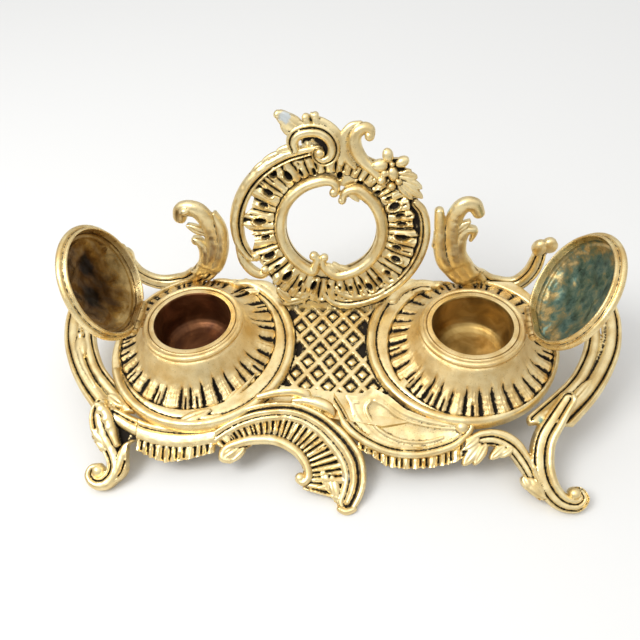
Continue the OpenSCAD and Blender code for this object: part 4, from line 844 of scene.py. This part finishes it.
foot_leaves = [
    ((-30, 3), (-14, 7.6), 5, 0, 1.8), ((-27, 10), (-12, 9.6), 4.4, 0.2, 1.6), ((30, 14), (22, 4), 6, 0, 1.8),
    ((-33, 14), (-24, 3.4), 5.5, 0, 2), ((36, 22), (28, 11), 5, 0.2, 1.6),
    ((10, 10.4), (-3, 13.6), 3.6, 0.6, 1.6), ((-14, 13), (-8, 4), 4, 0.4, 1.4),
    ((-21, 13), (-17, 3), 4, 0.3, 1.4), ((4, 8), (12, 2), 4, 0.2, 1.4)]
for tail, tip, w, base, lift in foot_leaves:
    back.leaf(tail, tip, w, base, lift)
back.scroll([(46, 66, 4.4), (49.6, 61.6, 5.2), (51.6, 54, 5.8), (51.4, 44, 6), (48.4, 33.4, 6),
             (42.6, 23.4, 6), (34.4, 14.8, 6), (24, 8.2, 6.2), (12, 4.4, 6.8), (3, 4.6, 6.6),
             (-3, 8.4, 5.4), (-5.6, 13.2, 4)], 3.8, -0.9, rim_right)
back.scroll([(30, 12.6, 2), (20, 9.2, 3), (10, 8.6, 3.4), (3.6, 11.4, 3), (2.4, 14.6, 2.4)], 1.6, 0.8)
frame_left = [(-5, 96.8, 5.4), (-20.4, 93.4, 7), (-32.6, 87.2, 7.6), (-42.6, 78.4, 8), (-49.2, 67.8, 8.2),
              (-52.6, 56.5, 8), (-52.4, 45.5, 7.4), (-49.8, 38, 6.4), (-46.6, 33.8, 5), (-43.6, 33.6, 4)]
back.scroll(frame_left, 5.4, -1.2, rim_left)
back.scroll([(-53.2, 40, 4), (-51.6, 32, 5.4), (-47.4, 25.6, 6), (-42, 22.6, 5.8), (-38.4, 24.4, 4.6),
             (-38.4, 27.2, 3.6)], 3.8, -0.9)
back.knob(-43.4, 34.6, 2.5, 1.6)
back.knob(-38.8, 26, 2.5, 1.2)
for tail, tip, w in (((-15, 98), (-27.5, 95.6), 5), ((-24, 95), (-36, 89.6), 4.6),
                     ((-33, 90.4), (-42.6, 83), 4), ((-18, 97), (-25, 92), 3.4),
                     ((-27, 92), (-34, 87), 3)):
    back.leaf(tail, tip, w, 1.8, 1.5)
back.cut(hole - r)
back.chase(0.09, 3)
pour("back_medallion", back, tilted(*on_back), 2.3, stand_brass, ["back_medallion"], hollow=2.3)

# Medallion scrolls. Two smooth round C scrolls that frame the hole, each ending in a small volute,
# the right one with leaf tips; a black line separates them from the fan.
inner = Casting(-33, 33, 18, 84, 0.42, seed=91)
scroll_r = 28.2


def bow(x, y, radius, start, end, width):
    """Points along a stretch of a circle."""
    angles = [math.radians(a) for a in np.linspace(start, end, 9)]
    return [(x + radius * math.cos(a), y + radius * math.sin(a), width) for a in angles]


left_bow = ([(3.4, 73.4, 3.4), (3.6, 76.6, 4.6), (1, 79.2, 5.2)] + bow(*heart, scroll_r, 100, 246, 6.2)
            + [(-9.2, 29.8, 5.2), (-8, 33.4, 4.4), (-9.6, 36, 3.4)])
right_bow = ([(7.2, 68.6, 3.4), (7.8, 72, 4.6), (11, 74.4, 5.4)] + bow(0.4, 51, scroll_r - 0.2, 56, -84, 6.4)
             + [(-1.6, 25.6, 5.6), (-4.8, 29, 4.8), (-5, 33, 3.6)])
for line in (left_bow, right_bow):
    inner.scroll(line, 4.4, 0.9)
for x, y, size in ((2.4, 73, 2.5), (-10, 35.4, 2.6), (6.6, 68.6, 2.1), (-4.2, 34.4, 2.3)):
    inner.knob(x, y, size, 2.6)
for tail, tip, w in (((9, 74.6), (16, 68.2), 3), ((12.4, 74.8), (21, 67.4), 2.6),
                     ((-3, 30.6), (5, 24.4), 3.4), ((0.4, 31.4), (6.6, 26.4), 2.6),
                     ((4, 29.4), (12.6, 25.8), 2.4)):
    inner.leaf(tail, tip, w, 2.9, 1.5)
inner.chase(0.04, 5)
pour("medallion_scrolls", inner, tilted(*on_back), -1.0, stand_brass, ["medallion_scrolls"])

# Crest scrolls. A big rolled volute, an S scroll that leans away to the right, and a split leaf
# with two buds at the upper left; brazed over the medallion's top.
crest = Casting(-30, 32, 72, 120, 0.42, seed=101)
crest.lay(crest.polygon([(-14, 100), (-12, 106), (-4, 107), (2, 102), (2, 95), (-3, 92), (-10, 94)]), 1.9)
crest.scroll([(-9, 113, 3), (-3, 110.6, 5), (2.8, 106, 6), (6.2, 100, 6.2), (7, 94, 5.4), (6.4, 89.4, 4)],
             2.2, 1.6)
crest.scroll([(-17.6, 96.6, 5), (-18.4, 101.2, 6.6), (-15.8, 105.2, 7.2), (-10.4, 107, 7.4),
              (-4, 106.6, 7.4), (1, 103.2, 7.2), (3.2, 98, 7), (1.8, 92.8, 6.4), (-2.6, 90.6, 5.6),
              (-6.2, 92.6, 4.6), (-6.4, 96, 3.8), (-3.8, 97, 3)], 4.2, 1.6, rim_left)
crest.knob(-4.2, 95.2, 2.5, 4.2)
crest.scroll([(28, 80, 4.4), (23.4, 85.4, 5.6), (18.6, 90, 6.4), (15, 95.6, 7), (13.8, 101.2, 7),
              (15.4, 105.6, 6.6), (19, 107.6, 5.8), (22, 106.4, 4.8), (22.2, 103.6, 4)], 4.2, 1.4)
crest.knob(21.6, 103.6, 2.6, 3.2)
crest.scroll([(13.6, 87, 3), (9.6, 92, 4.4), (8, 98, 5), (8.6, 104, 4.6), (12.2, 108.4, 4),
              (16.8, 109.6, 3)], 2.2, 1.4)
for x, y in ((-11, 103), (-8, 101.6), (-10.6, 99.4), (-6.6, 103.4), (-8.2, 98), (-3.4, 103), (-1.6, 100.4)):
    crest.knob(x, y, 0.9, 1.9, 0.9)
for tail, tip, w, base, lift in (((-12, 106.4), (-26, 115.6), 8.6, 3.0, 1.7),
                                 ((-14, 107), (-24.6, 117.0), 6, 3.6, 1.4),
                                 ((-15.6, 104), (-24, 109.8), 5.6, 2.8, 1.5),
                                 ((-8.6, 108), (-12, 114.4), 3.6, 3.2, 1.6),
                                 ((-5, 108.6), (-6.2, 115.2), 3.6, 3.0, 1.8),
                                 ((-3, 109), (-8.4, 115.8), 3, 3.2, 1.2),
                                 ((-11, 109), (-18, 111.4), 3.4, 3.4, 1.1)):
    crest.leaf(tail, tip, w, base, lift)
crest.knob(-10.8, 113.4, 2.0, 3.2)
crest.knob(-6, 114.2, 1.9, 3.2)
crest.knob(-25.2, 115.2, 2.0, 3.4, 0.8)
crest.chase(0.05, 4)
pour("crest_scrolls", crest, tilted(*on_back), -0.9, stand_brass, ["crest_scrolls"])

# Flower spray. A blossom of five smooth petals with a round eye, three berries and a fan of veined
# leaves, brazed to the medallion's shoulder.
spray = Casting(20, 55, 64, 100, 0.4, seed=111)
spray.lay(spray.polygon([(26, 78), (30, 92), (37, 92), (42, 84), (48, 74), (44, 70), (36, 74)]), 2.4)
for tail, tip, w, lift in (((35.4, 83.6), (46.6, 81.4), 5.2, 1.7), ((37, 81.4), (49.2, 75.6), 5.0, 1.6),
                           ((37.6, 79), (49.8, 70.2), 4.8, 1.6), ((36.4, 78.6), (44.4, 69.6), 4.6, 1.5),
                           ((38.4, 84), (43.6, 84.6), 3.6, 1.4)):
    spray.leaf(tail, tip, w, 3.2, lift, 0.7)
petals = [(26.9, 88.2, 5, 4.3, 3.1, 2.2), (31.0, 93.4, 108, 3.6, 2.8, 2.0), (38.4, 90.0, 20, 3.7, 2.6, 2.0),
          (33.8, 83.8, -78, 4.0, 2.9, 2.3), (29.4, 84, -135, 2.2, 2.0, 1.5)]
for x, y, angle, long, wide, lift in petals:
    spray.petal(x, y, angle, long, wide, 3.8, lift)
for x, y, size in ((33.2, 89.0, 1.5), (27.8, 80.4, 2.6), (33.0, 77.2, 2.4), (36.8, 79.6, 1.9)):
    spray.knob(x, y, size, 4.0, 1.1)
spray.chase(0.05, 3)
pour("flower_spray", spray, tilted(*on_back), -1.1, stand_brass, ["flower_spray"])

# Left and right arm. S scrolls of acanthus that spring from the medallion, bend back round behind
# the wells and end in a bud, cast in the flat and bent to their curve, then brazed at both ends.


def bent_sheet(stem):
    """Places an arm drawn in x and height on the curved sheet that its stem follows."""
    line = np.array(stem, float)
    slope = math.radians(on_back[3])

    def place(p):
        far = (p[:, None, 0] - line[None, :, 0]) ** 2 + (p[:, None, 1] - line[None, :, 1]) ** 2
        weight = 1 / (far + 6) ** 2
        y = (weight * line[None, :, 2]).sum(1) / weight.sum(1)
        return np.stack([p[:, 0], y - p[:, 2] * math.sin(slope), p[:, 1] + p[:, 2] * math.cos(slope)],
                        axis=1) / 1000
    return place


three_bands = (np.array([-1, -.94, -.8, -.66, -.58, -.5, -.42, -.3, 0, .28, .36, .44, .52, .62, .8, .94, 1]),
               np.array([.3, .58, .74, .72, .46, .44, .70, .88, 1, .92, .84, .52, .5, .78, .84, .6, .3]))
arms = {
    "left_arm": dict(
        stem=[(-66.5, 76, 52), (-68, 69, 52), (-71.5, 61, 52), (-78, 50.5, 56), (-88.5, 39.5, 61),
              (-101, 33.5, 63), (-114, 33.5, 63), (-124, 40, 63), (-128.4, 50, 63), (-127.4, 58, 62.5),
              (-131, 61, 62)],
        widths=[9, 13, 14.4, 14, 13, 12, 11, 10, 9, 7, 5],
        strokes=[
            [(-63.9, 96.6, 2.4), (-62.4, 90.4, 5.4), (-61.9, 83.7, 6.6), (-62.7, 75.5, 7), (-65, 67.1, 7.6),
             (-68.9, 58.4, 8), (-73.5, 52.1, 7)],
            [(-84.2, 93.6, 7.6), (-82.3, 98.2, 8.6), (-77.9, 99.7, 9.4), (-72.9, 98.2, 9.8),
             (-69.2, 92.4, 9.4), (-67.6, 84.5, 9), (-67.8, 76.3, 9), (-69.9, 67.9, 9.4), (-74.3, 59.2, 9),
             (-79.7, 52, 8)],
            [(-77.1, 75.3, 2), (-78.7, 76.4, 3), (-78.1, 78.3, 4.4), (-75.7, 76.7, 5.6), (-74.1, 71.7, 6.4),
             (-74.5, 65.3, 7), (-76.7, 58.8, 7.4), (-81, 51.6, 6), (-86.2, 46.5, 4.6)]],
        leaves=[((-70, 82.9), (-81, 89.2), 5.4, 1.6)],
        buds=[(-79.3, 99.2, 20, 3.2, 2.5, 4.0), (-131, 60.6, 60, 5, 3.4, 0.6)]),
    "right_arm": dict(
        stem=[(62.4, 84, 53), (63.6, 76, 53), (67, 65.5, 52.5), (75.5, 52, 56), (87, 39.5, 61),
              (99, 33.5, 63), (109, 35, 63), (115.6, 44, 63), (118, 54, 63), (118.4, 62, 62.5)],
        widths=[10, 13, 14.8, 14.2, 13.2, 12.2, 11, 9.6, 8.4, 6.4],
        strokes=[
            [(58.7, 97.4, 5), (59.4, 90.7, 6), (60, 82.8, 6.6), (60.2, 74.7, 7.6), (62.4, 64, 8),
             (67.4, 54.1, 8.4), (73.7, 45.2, 8.4), (80.8, 38.7, 7)],
            [(79.5, 96.1, 6.4), (76.7, 101, 8), (71.5, 101.4, 8.8), (67.4, 94.8, 9), (66.3, 82.5, 9),
             (68.3, 69, 9.6), (72.9, 54.8, 9.8), (80.4, 43.2, 9)],
            [(76.9, 77.8, 2), (78, 81, 3.2), (77.9, 84.5, 4.6), (73.6, 84.5, 6), (71.5, 78.3, 6.6),
             (71.9, 68.9, 7), (75.3, 59.2, 8), (80.9, 49.2, 7), (87.6, 41.5, 5)]],
        leaves=[((65.5, 81.4), (75.6, 91.8), 5.4, 1.6), ((58.5, 72.4), (52.5, 87.3), 5.4, 1.4)],
        buds=[(117.3, 64, 80, 5.4, 4.1, 1.4), (122.7, 65.6, 100, 5.2, 4.4, 1.0)]),
}
for name, arm in arms.items():
    side = -1 if name == "left_arm" else 1
    low, high = (-137, -54) if side < 0 else (52, 133)
    sheet = Casting(low, high, 26, 108, 0.45, seed=120 + side)
    sheet.scroll([(x, z, w) for (x, z, y), w in zip(arm["stem"], arm["widths"])], 4.6, -1.2,
                 three_bands if side < 0 else (-three_bands[0][::-1], three_bands[1][::-1]))
    for stroke in arm["strokes"]:
        sheet.scroll(stroke, 4.2, 0.6)
    for tail, tip, w, lift in arm["leaves"]:
        sheet.leaf(tail, tip, w, 2.4, lift)
    for x, z, angle, long, wide, base in arm["buds"]:
        sheet.petal(x, z, angle, long, wide, base, 3.0)
    sheet.cut(56.4 - np.hypot(sheet.X - heart[0],
                              (sheet.Y - on_back[2]) / math.sin(math.radians(on_back[3])) - heart[1] + 3))
    sheet.chase(0.07, 4)
    pour(name, sheet, bent_sheet(arm["stem"]), 2.4, stand_brass, [name], hollow=4)

# Left and right well. Turned brass bodies with a beaded rim and a smooth trumpet neck, brushed up
# and down; the cast skirt is fluted and lies square on the sloping tray, two screws from below.


def spun(rows, steps):
    """Angles, radii and heights of a turned shape, as grids, from its outline of radius, height."""
    line = np.array(rows, float)
    angle = np.linspace(0, 2 * math.pi, steps, endpoint=False)
    A, R = np.meshgrid(angle, line[:, 0])
    return A, R, np.broadcast_to(line[:, 1:2], A.shape).copy()


def spun_faces(rows, steps, closed):
    """Faces of a turned shape. An open outline starts and ends on the axis."""
    i, j = np.meshgrid(np.arange(rows if closed else rows - 1), np.arange(steps), indexing="ij")
    a, b = i * steps + j, i * steps + (j + 1) % steps
    c, d = ((i + 1) % rows) * steps + (j + 1) % steps, ((i + 1) % rows) * steps + j
    return np.stack([a.ravel(), b.ravel(), c.ravel(), d.ravel()], 1)


def finer(rows, step=0.6):
    """Puts more points on an outline, so that no side of it is longer than step."""
    out = []
    for a, b in zip(rows[:-1], rows[1:]):
        n = max(1, int(math.hypot(b[0] - a[0], b[1] - a[1]) / step))
        out += [(a[0] + (b[0] - a[0]) * k / n, a[1] + (b[1] - a[1]) * k / n) for k in range(n)]
    return out + [rows[-1]]


well_brass = brass_finish("well brass", (0.88, 0.70, 0.37), (0.70, 0.49, 0.20), 0.36, brushed=2.6)
well_y, tray_h, tilt = on_tray[1], on_tray[2], math.radians(on_tray[3])
well_steps = 720
skirt = [(22.7, 0.2), (45.0, 0.2), (45.2, 0.9), (44.6, 1.6), (43.2, 2.3), (41.4, 3.2), (39.4, 4.3),
         (37.4, 5.5), (35.6, 6.8), (34, 8.2), (32.5, 9.7), (31.2, 11.2)]
neck = [(30.1, 12.6), (29.2, 13.8), (28.4, 14.7), (27.5, 15.0), (27.1, 15.3), (27.4, 15.6), (28.2, 15.8),
        (28.9, 16.4), (29.0, 17.2), (28.7, 17.95), (28.0, 18.45), (27.4, 18.6), (26.7, 18.6),
        (26.3, 18.2), (25.9, 18.15), (25.1, 18.5), (25.0, 17.5), (22.7, 17.45), (22.7, 9), (22.7, 0.21)]
skirt_rows = finer(skirt, 0.55)
outline = skirt_rows + finer(neck, 0.7)
for name, side in (("left_well", -1), ("right_well", 1)):
    A, R, H = spun(outline, well_steps)
    random = np.random.default_rng(7 + side)
    flutes = 34
    edges = (np.arange(flutes) + random.uniform(-0.26, 0.26, flutes)) * 2 * math.pi / flutes
    edges = np.sort(edges % (2 * math.pi))
    k = np.searchsorted(edges, A)
    low = np.where(k == 0, edges[-1] - 2 * math.pi, edges[np.maximum(k - 1, 0)])
    high = np.where(k == flutes, edges[0] + 2 * math.pi, edges[np.minimum(k, flutes - 1)])
    crown = np.sin(math.pi * np.clip((A - low) / (high - low), 0, 1)) ** 0.6
    k = k % flutes
    start, depth = random.uniform(31.5, 37.0, flutes)[k], random.uniform(0.6, 1.2, flutes)[k]
    forked = (random.uniform(0, 1, flutes)[k] < 0.4) * np.exp(-(((A - low) / (high - low) - 0.5) / 0.1) ** 2)
    forked = forked * ramp(R, 38.5, 40)
    outside = np.arange(len(outline))[:, None] < len(skirt_rows)
    on_skirt = ramp(R, start - 1.5, start + 4) * outside * (H > 0.3)
    slit = depth * ramp(R, start, start + 2.5) * (1 - 0.55 * ramp(R, 43, 44.8))
    gap = np.clip((1 - crown) ** 1.25 * slit + 0.7 * forked, 0, 1.2) * outside * (H > 0.3)
    wobble = (np.sin(A * 23 + R * 1.9 + side) * np.sin(A * 41 - R * 0.8) * 0.16
              + np.sin(A * 137 + 4 * np.sin(A * 9)) * 0.13) * on_skirt
    H = H - 2.0 * gap + 0.9 * on_skirt * (crown - 0.5) + wobble
    R = R - 0.5 * gap + 0.35 * on_skirt * (crown - 0.6) - 1.0 * (1 - crown) * (R > 44) * outside
    dark = np.clip(1.75 * gap - 0.06 + 0.25 * ramp(R, 38, 43) * (1 - crown) * outside, 0, 1)
    dark = np.where(outside & (H < 1.0), 1, dark)
    dent = np.exp(-((R - 27.2) / 0.5) ** 2) * (np.abs(H - 15.3) < 0.8) * 0.5
    dark = np.maximum(dark, dent)
    by_hinge = (np.cos(A) > 0.5) & (np.abs(R * np.sin(A)) < 11.6) & (H > 15.2) & (R > 26)
    R = np.where(by_hinge, np.minimum(R, 27.6 / np.maximum(np.cos(A), 0.5)), R)
    x, y, z = R * np.cos(A), R * np.sin(A), H
    lean = 1 - ramp(z, 6.5, 13.5)
    y2, z2 = y * math.cos(tilt) - z * math.sin(tilt), y * math.sin(tilt) + z * math.cos(tilt)
    y, z = y + (y2 - y) * lean, z + (z2 - z) * lean
    points = np.stack([side * x + side * well_x, y + well_y, z + tray_h], axis=2).reshape(-1, 3) / 1000
    quads = spun_faces(len(outline), well_steps, True)
    if side < 0:
        quads = quads[:, ::-1]
    piece = finish_mesh(name, points, quads, dark.ravel(), well_brass, [name])
    lines = piece.data.attributes.new("turn", "FLOAT", "POINT")
    lines.data.foreach_set("value", (A * 9).ravel().astype(np.float32))

# Ink cups. Turned liners that hang by their lip in the wells and lift out with the lid open. The
# left one is old copper, brown inside; the right one is dull old brass. Both lips are rubbed bright.
cup_shape = [(0, 25.1), (19.9, 25.1), (21.6, 25.9), (22.35, 27.7), (22.4, 48.95), (24.75, 48.95),
             (24.8, 49.7), (24.5, 50.12), (23.2, 50.2), (22.0, 50.05), (21.5, 49.4), (21.45, 44),
             (21.4, 37), (21.1, 33), (20.2, 30.2), (18.4, 28.2), (15.6, 26.9), (12, 26.3), (8, 26.1),
             (4, 26.0), (0, 26.0)]


def worn_metal(name, tones, rough, scale, shine):
    """Dull metal in three tones."""
    metal = Finish(name)
    cloud = metal.noise(scale, 6, 0.5, 0.6)
    metal.join("Base Color", metal.tones(cloud, (0.32, 0.5, 0.68), tones))
    metal.shader.inputs["Metallic"].default_value = shine
    smear = metal.spread(metal.noise(scale * 2.3, 4, 0.5), 0, 1, rough - 0.08, rough + 0.14, "LINEAR")
    metal.join("Roughness", smear)
    metal.grit(metal.noise(scale * 8, 5, 0.5), 0.4, 0.0002)
    return metal.material


copper_tones = ((0.075, 0.026, 0.010), (0.16, 0.062, 0.022), (0.33, 0.14, 0.055))
gold_tones = ((0.20, 0.115, 0.026), (0.36, 0.22, 0.06), (0.56, 0.38, 0.13))
cup_metals = {-1: worn_metal("copper brown", copper_tones, 0.34, 60, 0.8),
              1: worn_metal("old gold", gold_tones, 0.36, 75, 0.85)}
cup_steps = 192
for name, side, slot in (("left_ink_cup", -1, "left_cup_copper"), ("right_ink_cup", 1, "right_cup_brass")):
    rows = finer(cup_shape[1:-1], 0.8)
    A, R, H = spun(rows, cup_steps)
    R = R + 0.05 * np.sin(A * 3 + H) * (R < 21.8)
    count = A.size
    points = np.stack([side * well_x + R * np.cos(A), well_y + R * np.sin(A), H], axis=2).reshape(-1, 3)
    quads = spun_faces(len(rows), cup_steps, False)
    points = np.vstack([points, [(side * well_x, well_y, 25.1), (side * well_x, well_y, 26.0)]]) / 1000
    last = (len(rows) - 1) * cup_steps
    faces = quads.tolist() + [[(j + 1) % cup_steps, j, count] for j in range(cup_steps)]
    faces += [[last + j, last + (j + 1) % cup_steps, count + 1] for j in range(cup_steps)]
    mesh = bpy.data.meshes.new(name)
    mesh.from_pydata(points.tolist(), [], faces)
    mesh.materials.append(cup_metals[side])
    mesh.materials.append(well_brass)
    lip = np.repeat([h > 49.0 and r > 22.6 for r, h in rows[:-1]], cup_steps)
    mesh.polygons.foreach_set("material_index",
                              np.concatenate([lip, np.zeros(len(faces) - len(lip))]).astype(np.int32))
    mesh.shade_smooth()
    mesh.set_sharp_from_angle(angle=math.radians(40))
    piece = bpy.data.objects.new(name + "_liner", mesh)
    bpy.context.scene.collection.objects.link(piece)
    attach(piece, "stand")
    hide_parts(name)

# Hinges. The middle knuckle is brazed on the well, the two outer ones on the lid, and a pin with
# riveted heads runs through them. They are bare brass, worn bright with dirt left in the gaps.
knuckle_tones = ((0.16, 0.10, 0.04), (0.60, 0.42, 0.17), (0.86, 0.69, 0.38))
hinge_brass = worn_metal("hinge brass", knuckle_tones, 0.34, 260, 0.9)
for name in ("left_well_knuckle", "right_well_knuckle", "left_hinge_pin", "right_hinge_pin",
             "left_lid_hinge", "right_lid_hinge"):
    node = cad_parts[name]
    node.data.materials.clear()
    node.data.materials.append(hinge_brass)

# Left and right lid, standing open. Each is a hollow domed casting, turned outside, with a thin lip,
# a rounded rim behind it and a turned finial. Drawn closed, then swung back on its pin.
lid_profile = [(29.1, 0.14), (29.4, 0.05), (29.9, 0.08), (30.2, 0.45), (30.3, 1.4), (30.35, 2.2),
               (30.7, 2.5), (31.3, 2.3), (32.0, 2.6), (32.45, 3.3), (32.55, 4.2), (32.3, 5.1),
               (31.7, 5.7), (30.9, 5.95), (30.3, 5.75), (30.0, 5.6), (29.7, 5.85), (28.7, 6.7),
               (27.2, 7.7), (25.4, 8.7), (22.6, 9.9), (19.5, 10.95), (16.3, 12.0), (13.0, 12.95),
               (10.2, 13.7), (7.5, 14.2), (5.6, 14.7), (4.2, 15.3), (3.3, 16.4), (3.4, 17.5), (4.7, 18.4),
               (5.0, 18.8), (4.6, 19.2), (5.6, 19.8), (6.5, 20.8), (6.6, 22.0), (5.8, 23.7), (3.8, 24.9),
               (2.0, 25.6), (1.3, 26.6), (0.02, 27.0)]
lid_inside = [(0.02, 13.1), (3.6, 13.05), (7.4, 12.8), (10.5, 12.4), (13.0, 11.8), (16.3, 10.8),
              (19.2, 9.8), (22.6, 8.5), (24.6, 7.4), (25.6, 6.6), (26.1, 6.0), (26.6, 5.8), (27.3, 5.75),
              (27.8, 5.4), (28.1, 4.6), (28.5, 3.0), (28.8, 1.4), (28.9, 0.5)]


def lid_metal(name, tones, darker, crust, crust_share, shine, wet, middle, edge, scale, spots=()):
    """The inside of a lid: fumes of ink have stained it in patches, with a crust where they ate in."""
    lining = Finish(name)

    def noise(size, detail, twist=0.0):
        return lining.noise(size, detail, 0.62, twist)

    def add(a, b):
        return lining.maths("ADD", a, b, clamp=True)

    tone = add(noise(scale, 8, 0.3), lining.maths("MULTIPLY", noise(scale * 6, 5), 0.25))
    tone = lining.maths("SUBTRACT", tone, darker)
    tone = add(tone, lining.spread(lining.away(*middle), 0.016, 0.027, 0.0, edge))
    for spot, size in spots:
        uneven = add(lining.away(*spot), lining.maths("MULTIPLY", noise(150, 4, 0.5), size / 2200))
        tone = lining.maths("SUBTRACT", tone, lining.spread(uneven, size / 2600, size / 700, 0.36, 0.0))
    stain = lining.tones(tone, (0.26, 0.40, 0.50, 0.60, 0.72), tones)
    eaten = lining.spread(noise(58, 8, 0.9), 0.66 - crust_share, 0.74 - crust_share)
    lining.join("Base Color", lining.blend(eaten, stain, crust))
    lining.join("Metallic", lining.spread(eaten, 0, 1, shine, 0.05))
    lining.join("Roughness", add(lining.spread(eaten, 0, 1, wet, 0.70),
                                 lining.maths("MULTIPLY", noise(420, 4), 0.12)))
    lining.grit(noise(330, 7), 0.7, 0.0005)
    return lining.material


lid_brass = brass_finish("lid brass", (0.92, 0.75, 0.40), (0.72, 0.50, 0.20), 0.28, brushed=1.4)
brown_tones = ((0.010, 0.005, 0.002), (0.07, 0.034, 0.010), (0.17, 0.095, 0.028), (0.30, 0.19, 0.065),
               (0.52, 0.37, 0.15))
teal_tones = ((0.022, 0.036, 0.028), (0.060, 0.11, 0.085), (0.11, 0.16, 0.115), (0.22, 0.19, 0.09),
              (0.48, 0.34, 0.14))
left_lining = lid_metal(
    "left lid lining", brown_tones, darker=0.125, crust=(0.03, 0.018, 0.01), crust_share=0.0, shine=0.95,
    wet=0.14, middle=(-128, 15, 79), edge=0.10, scale=24,
    spots=(((-131.2, 23.7, 84.4), 7), ((-126.4, 11.3, 73), 8)))
right_lining = lid_metal(
    "right lid lining", teal_tones, darker=0.17, crust=(0.20, 0.31, 0.25), crust_share=0.06, shine=0.75,
    wet=0.26, middle=(131, 15, 75), edge=0.16, scale=190)
lid_base, pin_x, pin_z = 50.32, 108.3, 51.9
for name, side, opened, lining in (("left_lid", -1, -113, left_lining), ("right_lid", 1, 123, right_lining)):
    outside = finer(lid_profile, 0.5)
    outline = outside + finer(lid_inside, 0.6)
    rows, steps = len(outline), 360
    A, R, H = spun(outline, steps)
    inner = np.broadcast_to(np.arange(rows)[:, None] >= len(outside), A.shape)
    random = np.random.default_rng(31 + side)
    swell = np.zeros(A.shape)
    for _ in range(16):
        kx, ky, kz = random.normal(0, 1, 3) * 0.33
        swell += np.sin(R * np.cos(A) * kx + R * np.sin(A) * ky + H * kz + random.uniform(0, 6.3))
    H = H + np.where(inner, 0.12, 0.03) * swell * ramp(R, 2, 8) * ramp(-R, -26, -24)
    toward = np.abs(np.cos(A))
    hinged = (np.cos(A) * side > 0.5) & (np.abs(R * np.sin(A)) < 11.9) & (H < 5.4)
    R = np.where(hinged, np.minimum(R,
                                    (27.45 - (29.9 - np.minimum(R, 29.9)) * 0.15) / np.maximum(toward, 0.5)),
                 R)
    dark = np.zeros(A.shape)
    for r, h, wide in ((30.45, 2.2, 0.4), (30.0, 5.65, 0.4), (4.4, 15.1, 0.9), (4.6, 19.2, 0.45),
                       (3.2, 16.1, 0.7)):
        dark = np.maximum(dark, 0.75 * np.exp(-(((R - r) ** 2 + (H - h) ** 2) / wide ** 2)))
    dark = np.where(inner, 0, dark)
    x, y, z = side * well_x + R * np.cos(A), well_y + R * np.sin(A), lid_base + H
    turn = math.radians(opened)
    px, pz = side * pin_x, pin_z
    points = np.stack([px + (x - px) * math.cos(turn) + (z - pz) * math.sin(turn), y,
                       pz - (x - px) * math.sin(turn) + (z - pz) * math.cos(turn)],
                      axis=-1).reshape(-1, 3) / 1000
    piece = finish_mesh(name + "_casting", points, spun_faces(rows, steps, True), dark.ravel(), lid_brass,
                        [name], name)
    lines = piece.data.attributes.new("turn", "FLOAT", "POINT")
    lines.data.foreach_set("value", (R * 0.5 + H).ravel().astype(np.float32))
    piece.data.materials.append(lining)
    row = np.repeat(np.arange(rows), steps)
    piece.data.polygons.foreach_set("material_index",
                                    ((row >= len(outside) - 1) & (row < rows - 5)).astype(np.int32))
    piece.data.update()

# Screws. Steel screws come up from below, two into each well and two into the back. They have
# plain turned heads, seen only when the stand is turned over.
steel_tones = ((0.20, 0.19, 0.17), (0.36, 0.34, 0.31), (0.52, 0.50, 0.46))
screw_steel = worn_metal("screw steel", steel_tones, 0.34, 320, 0.95)
for name in ("well_screws", "back_screws"):
    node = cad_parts[name]
    node.data.materials.clear()
    node.data.materials.append(screw_steel)

# Floor, light and camera. The photograph was taken in soft, bright light on a pale ground, from above the
# front and a little to the right, so that is where the camera stands.
ground = bpy.data.materials.new("pale ground")
ground.use_nodes = True
ground.node_tree.nodes["Principled BSDF"].inputs["Base Color"].default_value = (0.72, 0.72, 0.71, 1)
ground.node_tree.nodes["Principled BSDF"].inputs["Roughness"].default_value = 0.6
floor_mesh = bpy.data.meshes.new("floor")
floor_mesh.from_pydata([(-3, -3, 0), (3, -3, 0), (3, 3, 0), (-3, 3, 0)], [], [(0, 1, 2, 3)])
floor_mesh.materials.append(ground)
floor = bpy.data.objects.new("floor", floor_mesh)
bpy.context.scene.collection.objects.link(floor)
world = bpy.data.worlds.new("studio")
world.use_nodes = True
sky = world.node_tree.nodes
height = sky.new("ShaderNodeSeparateXYZ")
overhead = sky.new("ShaderNodeMapRange")
for socket, number in zip(overhead.inputs[1:5], (-0.05, 0.95, 0.38, 1.2)):
    socket.default_value = number
world.node_tree.links.new(sky.new("ShaderNodeTexCoord").outputs["Generated"], height.inputs[0])
world.node_tree.links.new(height.outputs["Z"], overhead.inputs[0])
world.node_tree.links.new(overhead.outputs[0], sky["Background"].inputs["Strength"])
sky["Background"].inputs["Color"].default_value = (1, 1, 1, 1)
bpy.context.scene.world = world
lamp = bpy.data.lights.new("soft box", "AREA")
lamp.energy, lamp.size = 7, 0.5
soft_box = bpy.data.objects.new("soft box", lamp)
soft_box.matrix_world = Matrix.Translation((-0.5, -0.35, 0.9)) @ (
    Vector((-0.5, -0.35, 0.9))).to_track_quat("Z", "Y").to_matrix().to_4x4()
bpy.context.scene.collection.objects.link(soft_box)
camera = bpy.data.cameras.new("camera")
camera.lens, camera.sensor_width = 39.375, 36
eye = bpy.data.objects.new("camera", camera)
eye.matrix_world = Matrix(((0.9949, -0.0146, 0.1000, 0.0335), (0.0791, 0.7285, -0.6805, -0.2487),
                           (-0.0629, 0.6849, 0.7259, 0.3330), (0, 0, 0, 1)))
bpy.context.scene.collection.objects.link(eye)
bpy.context.scene.camera = eye
bpy.context.scene.view_settings.view_transform = "Standard"
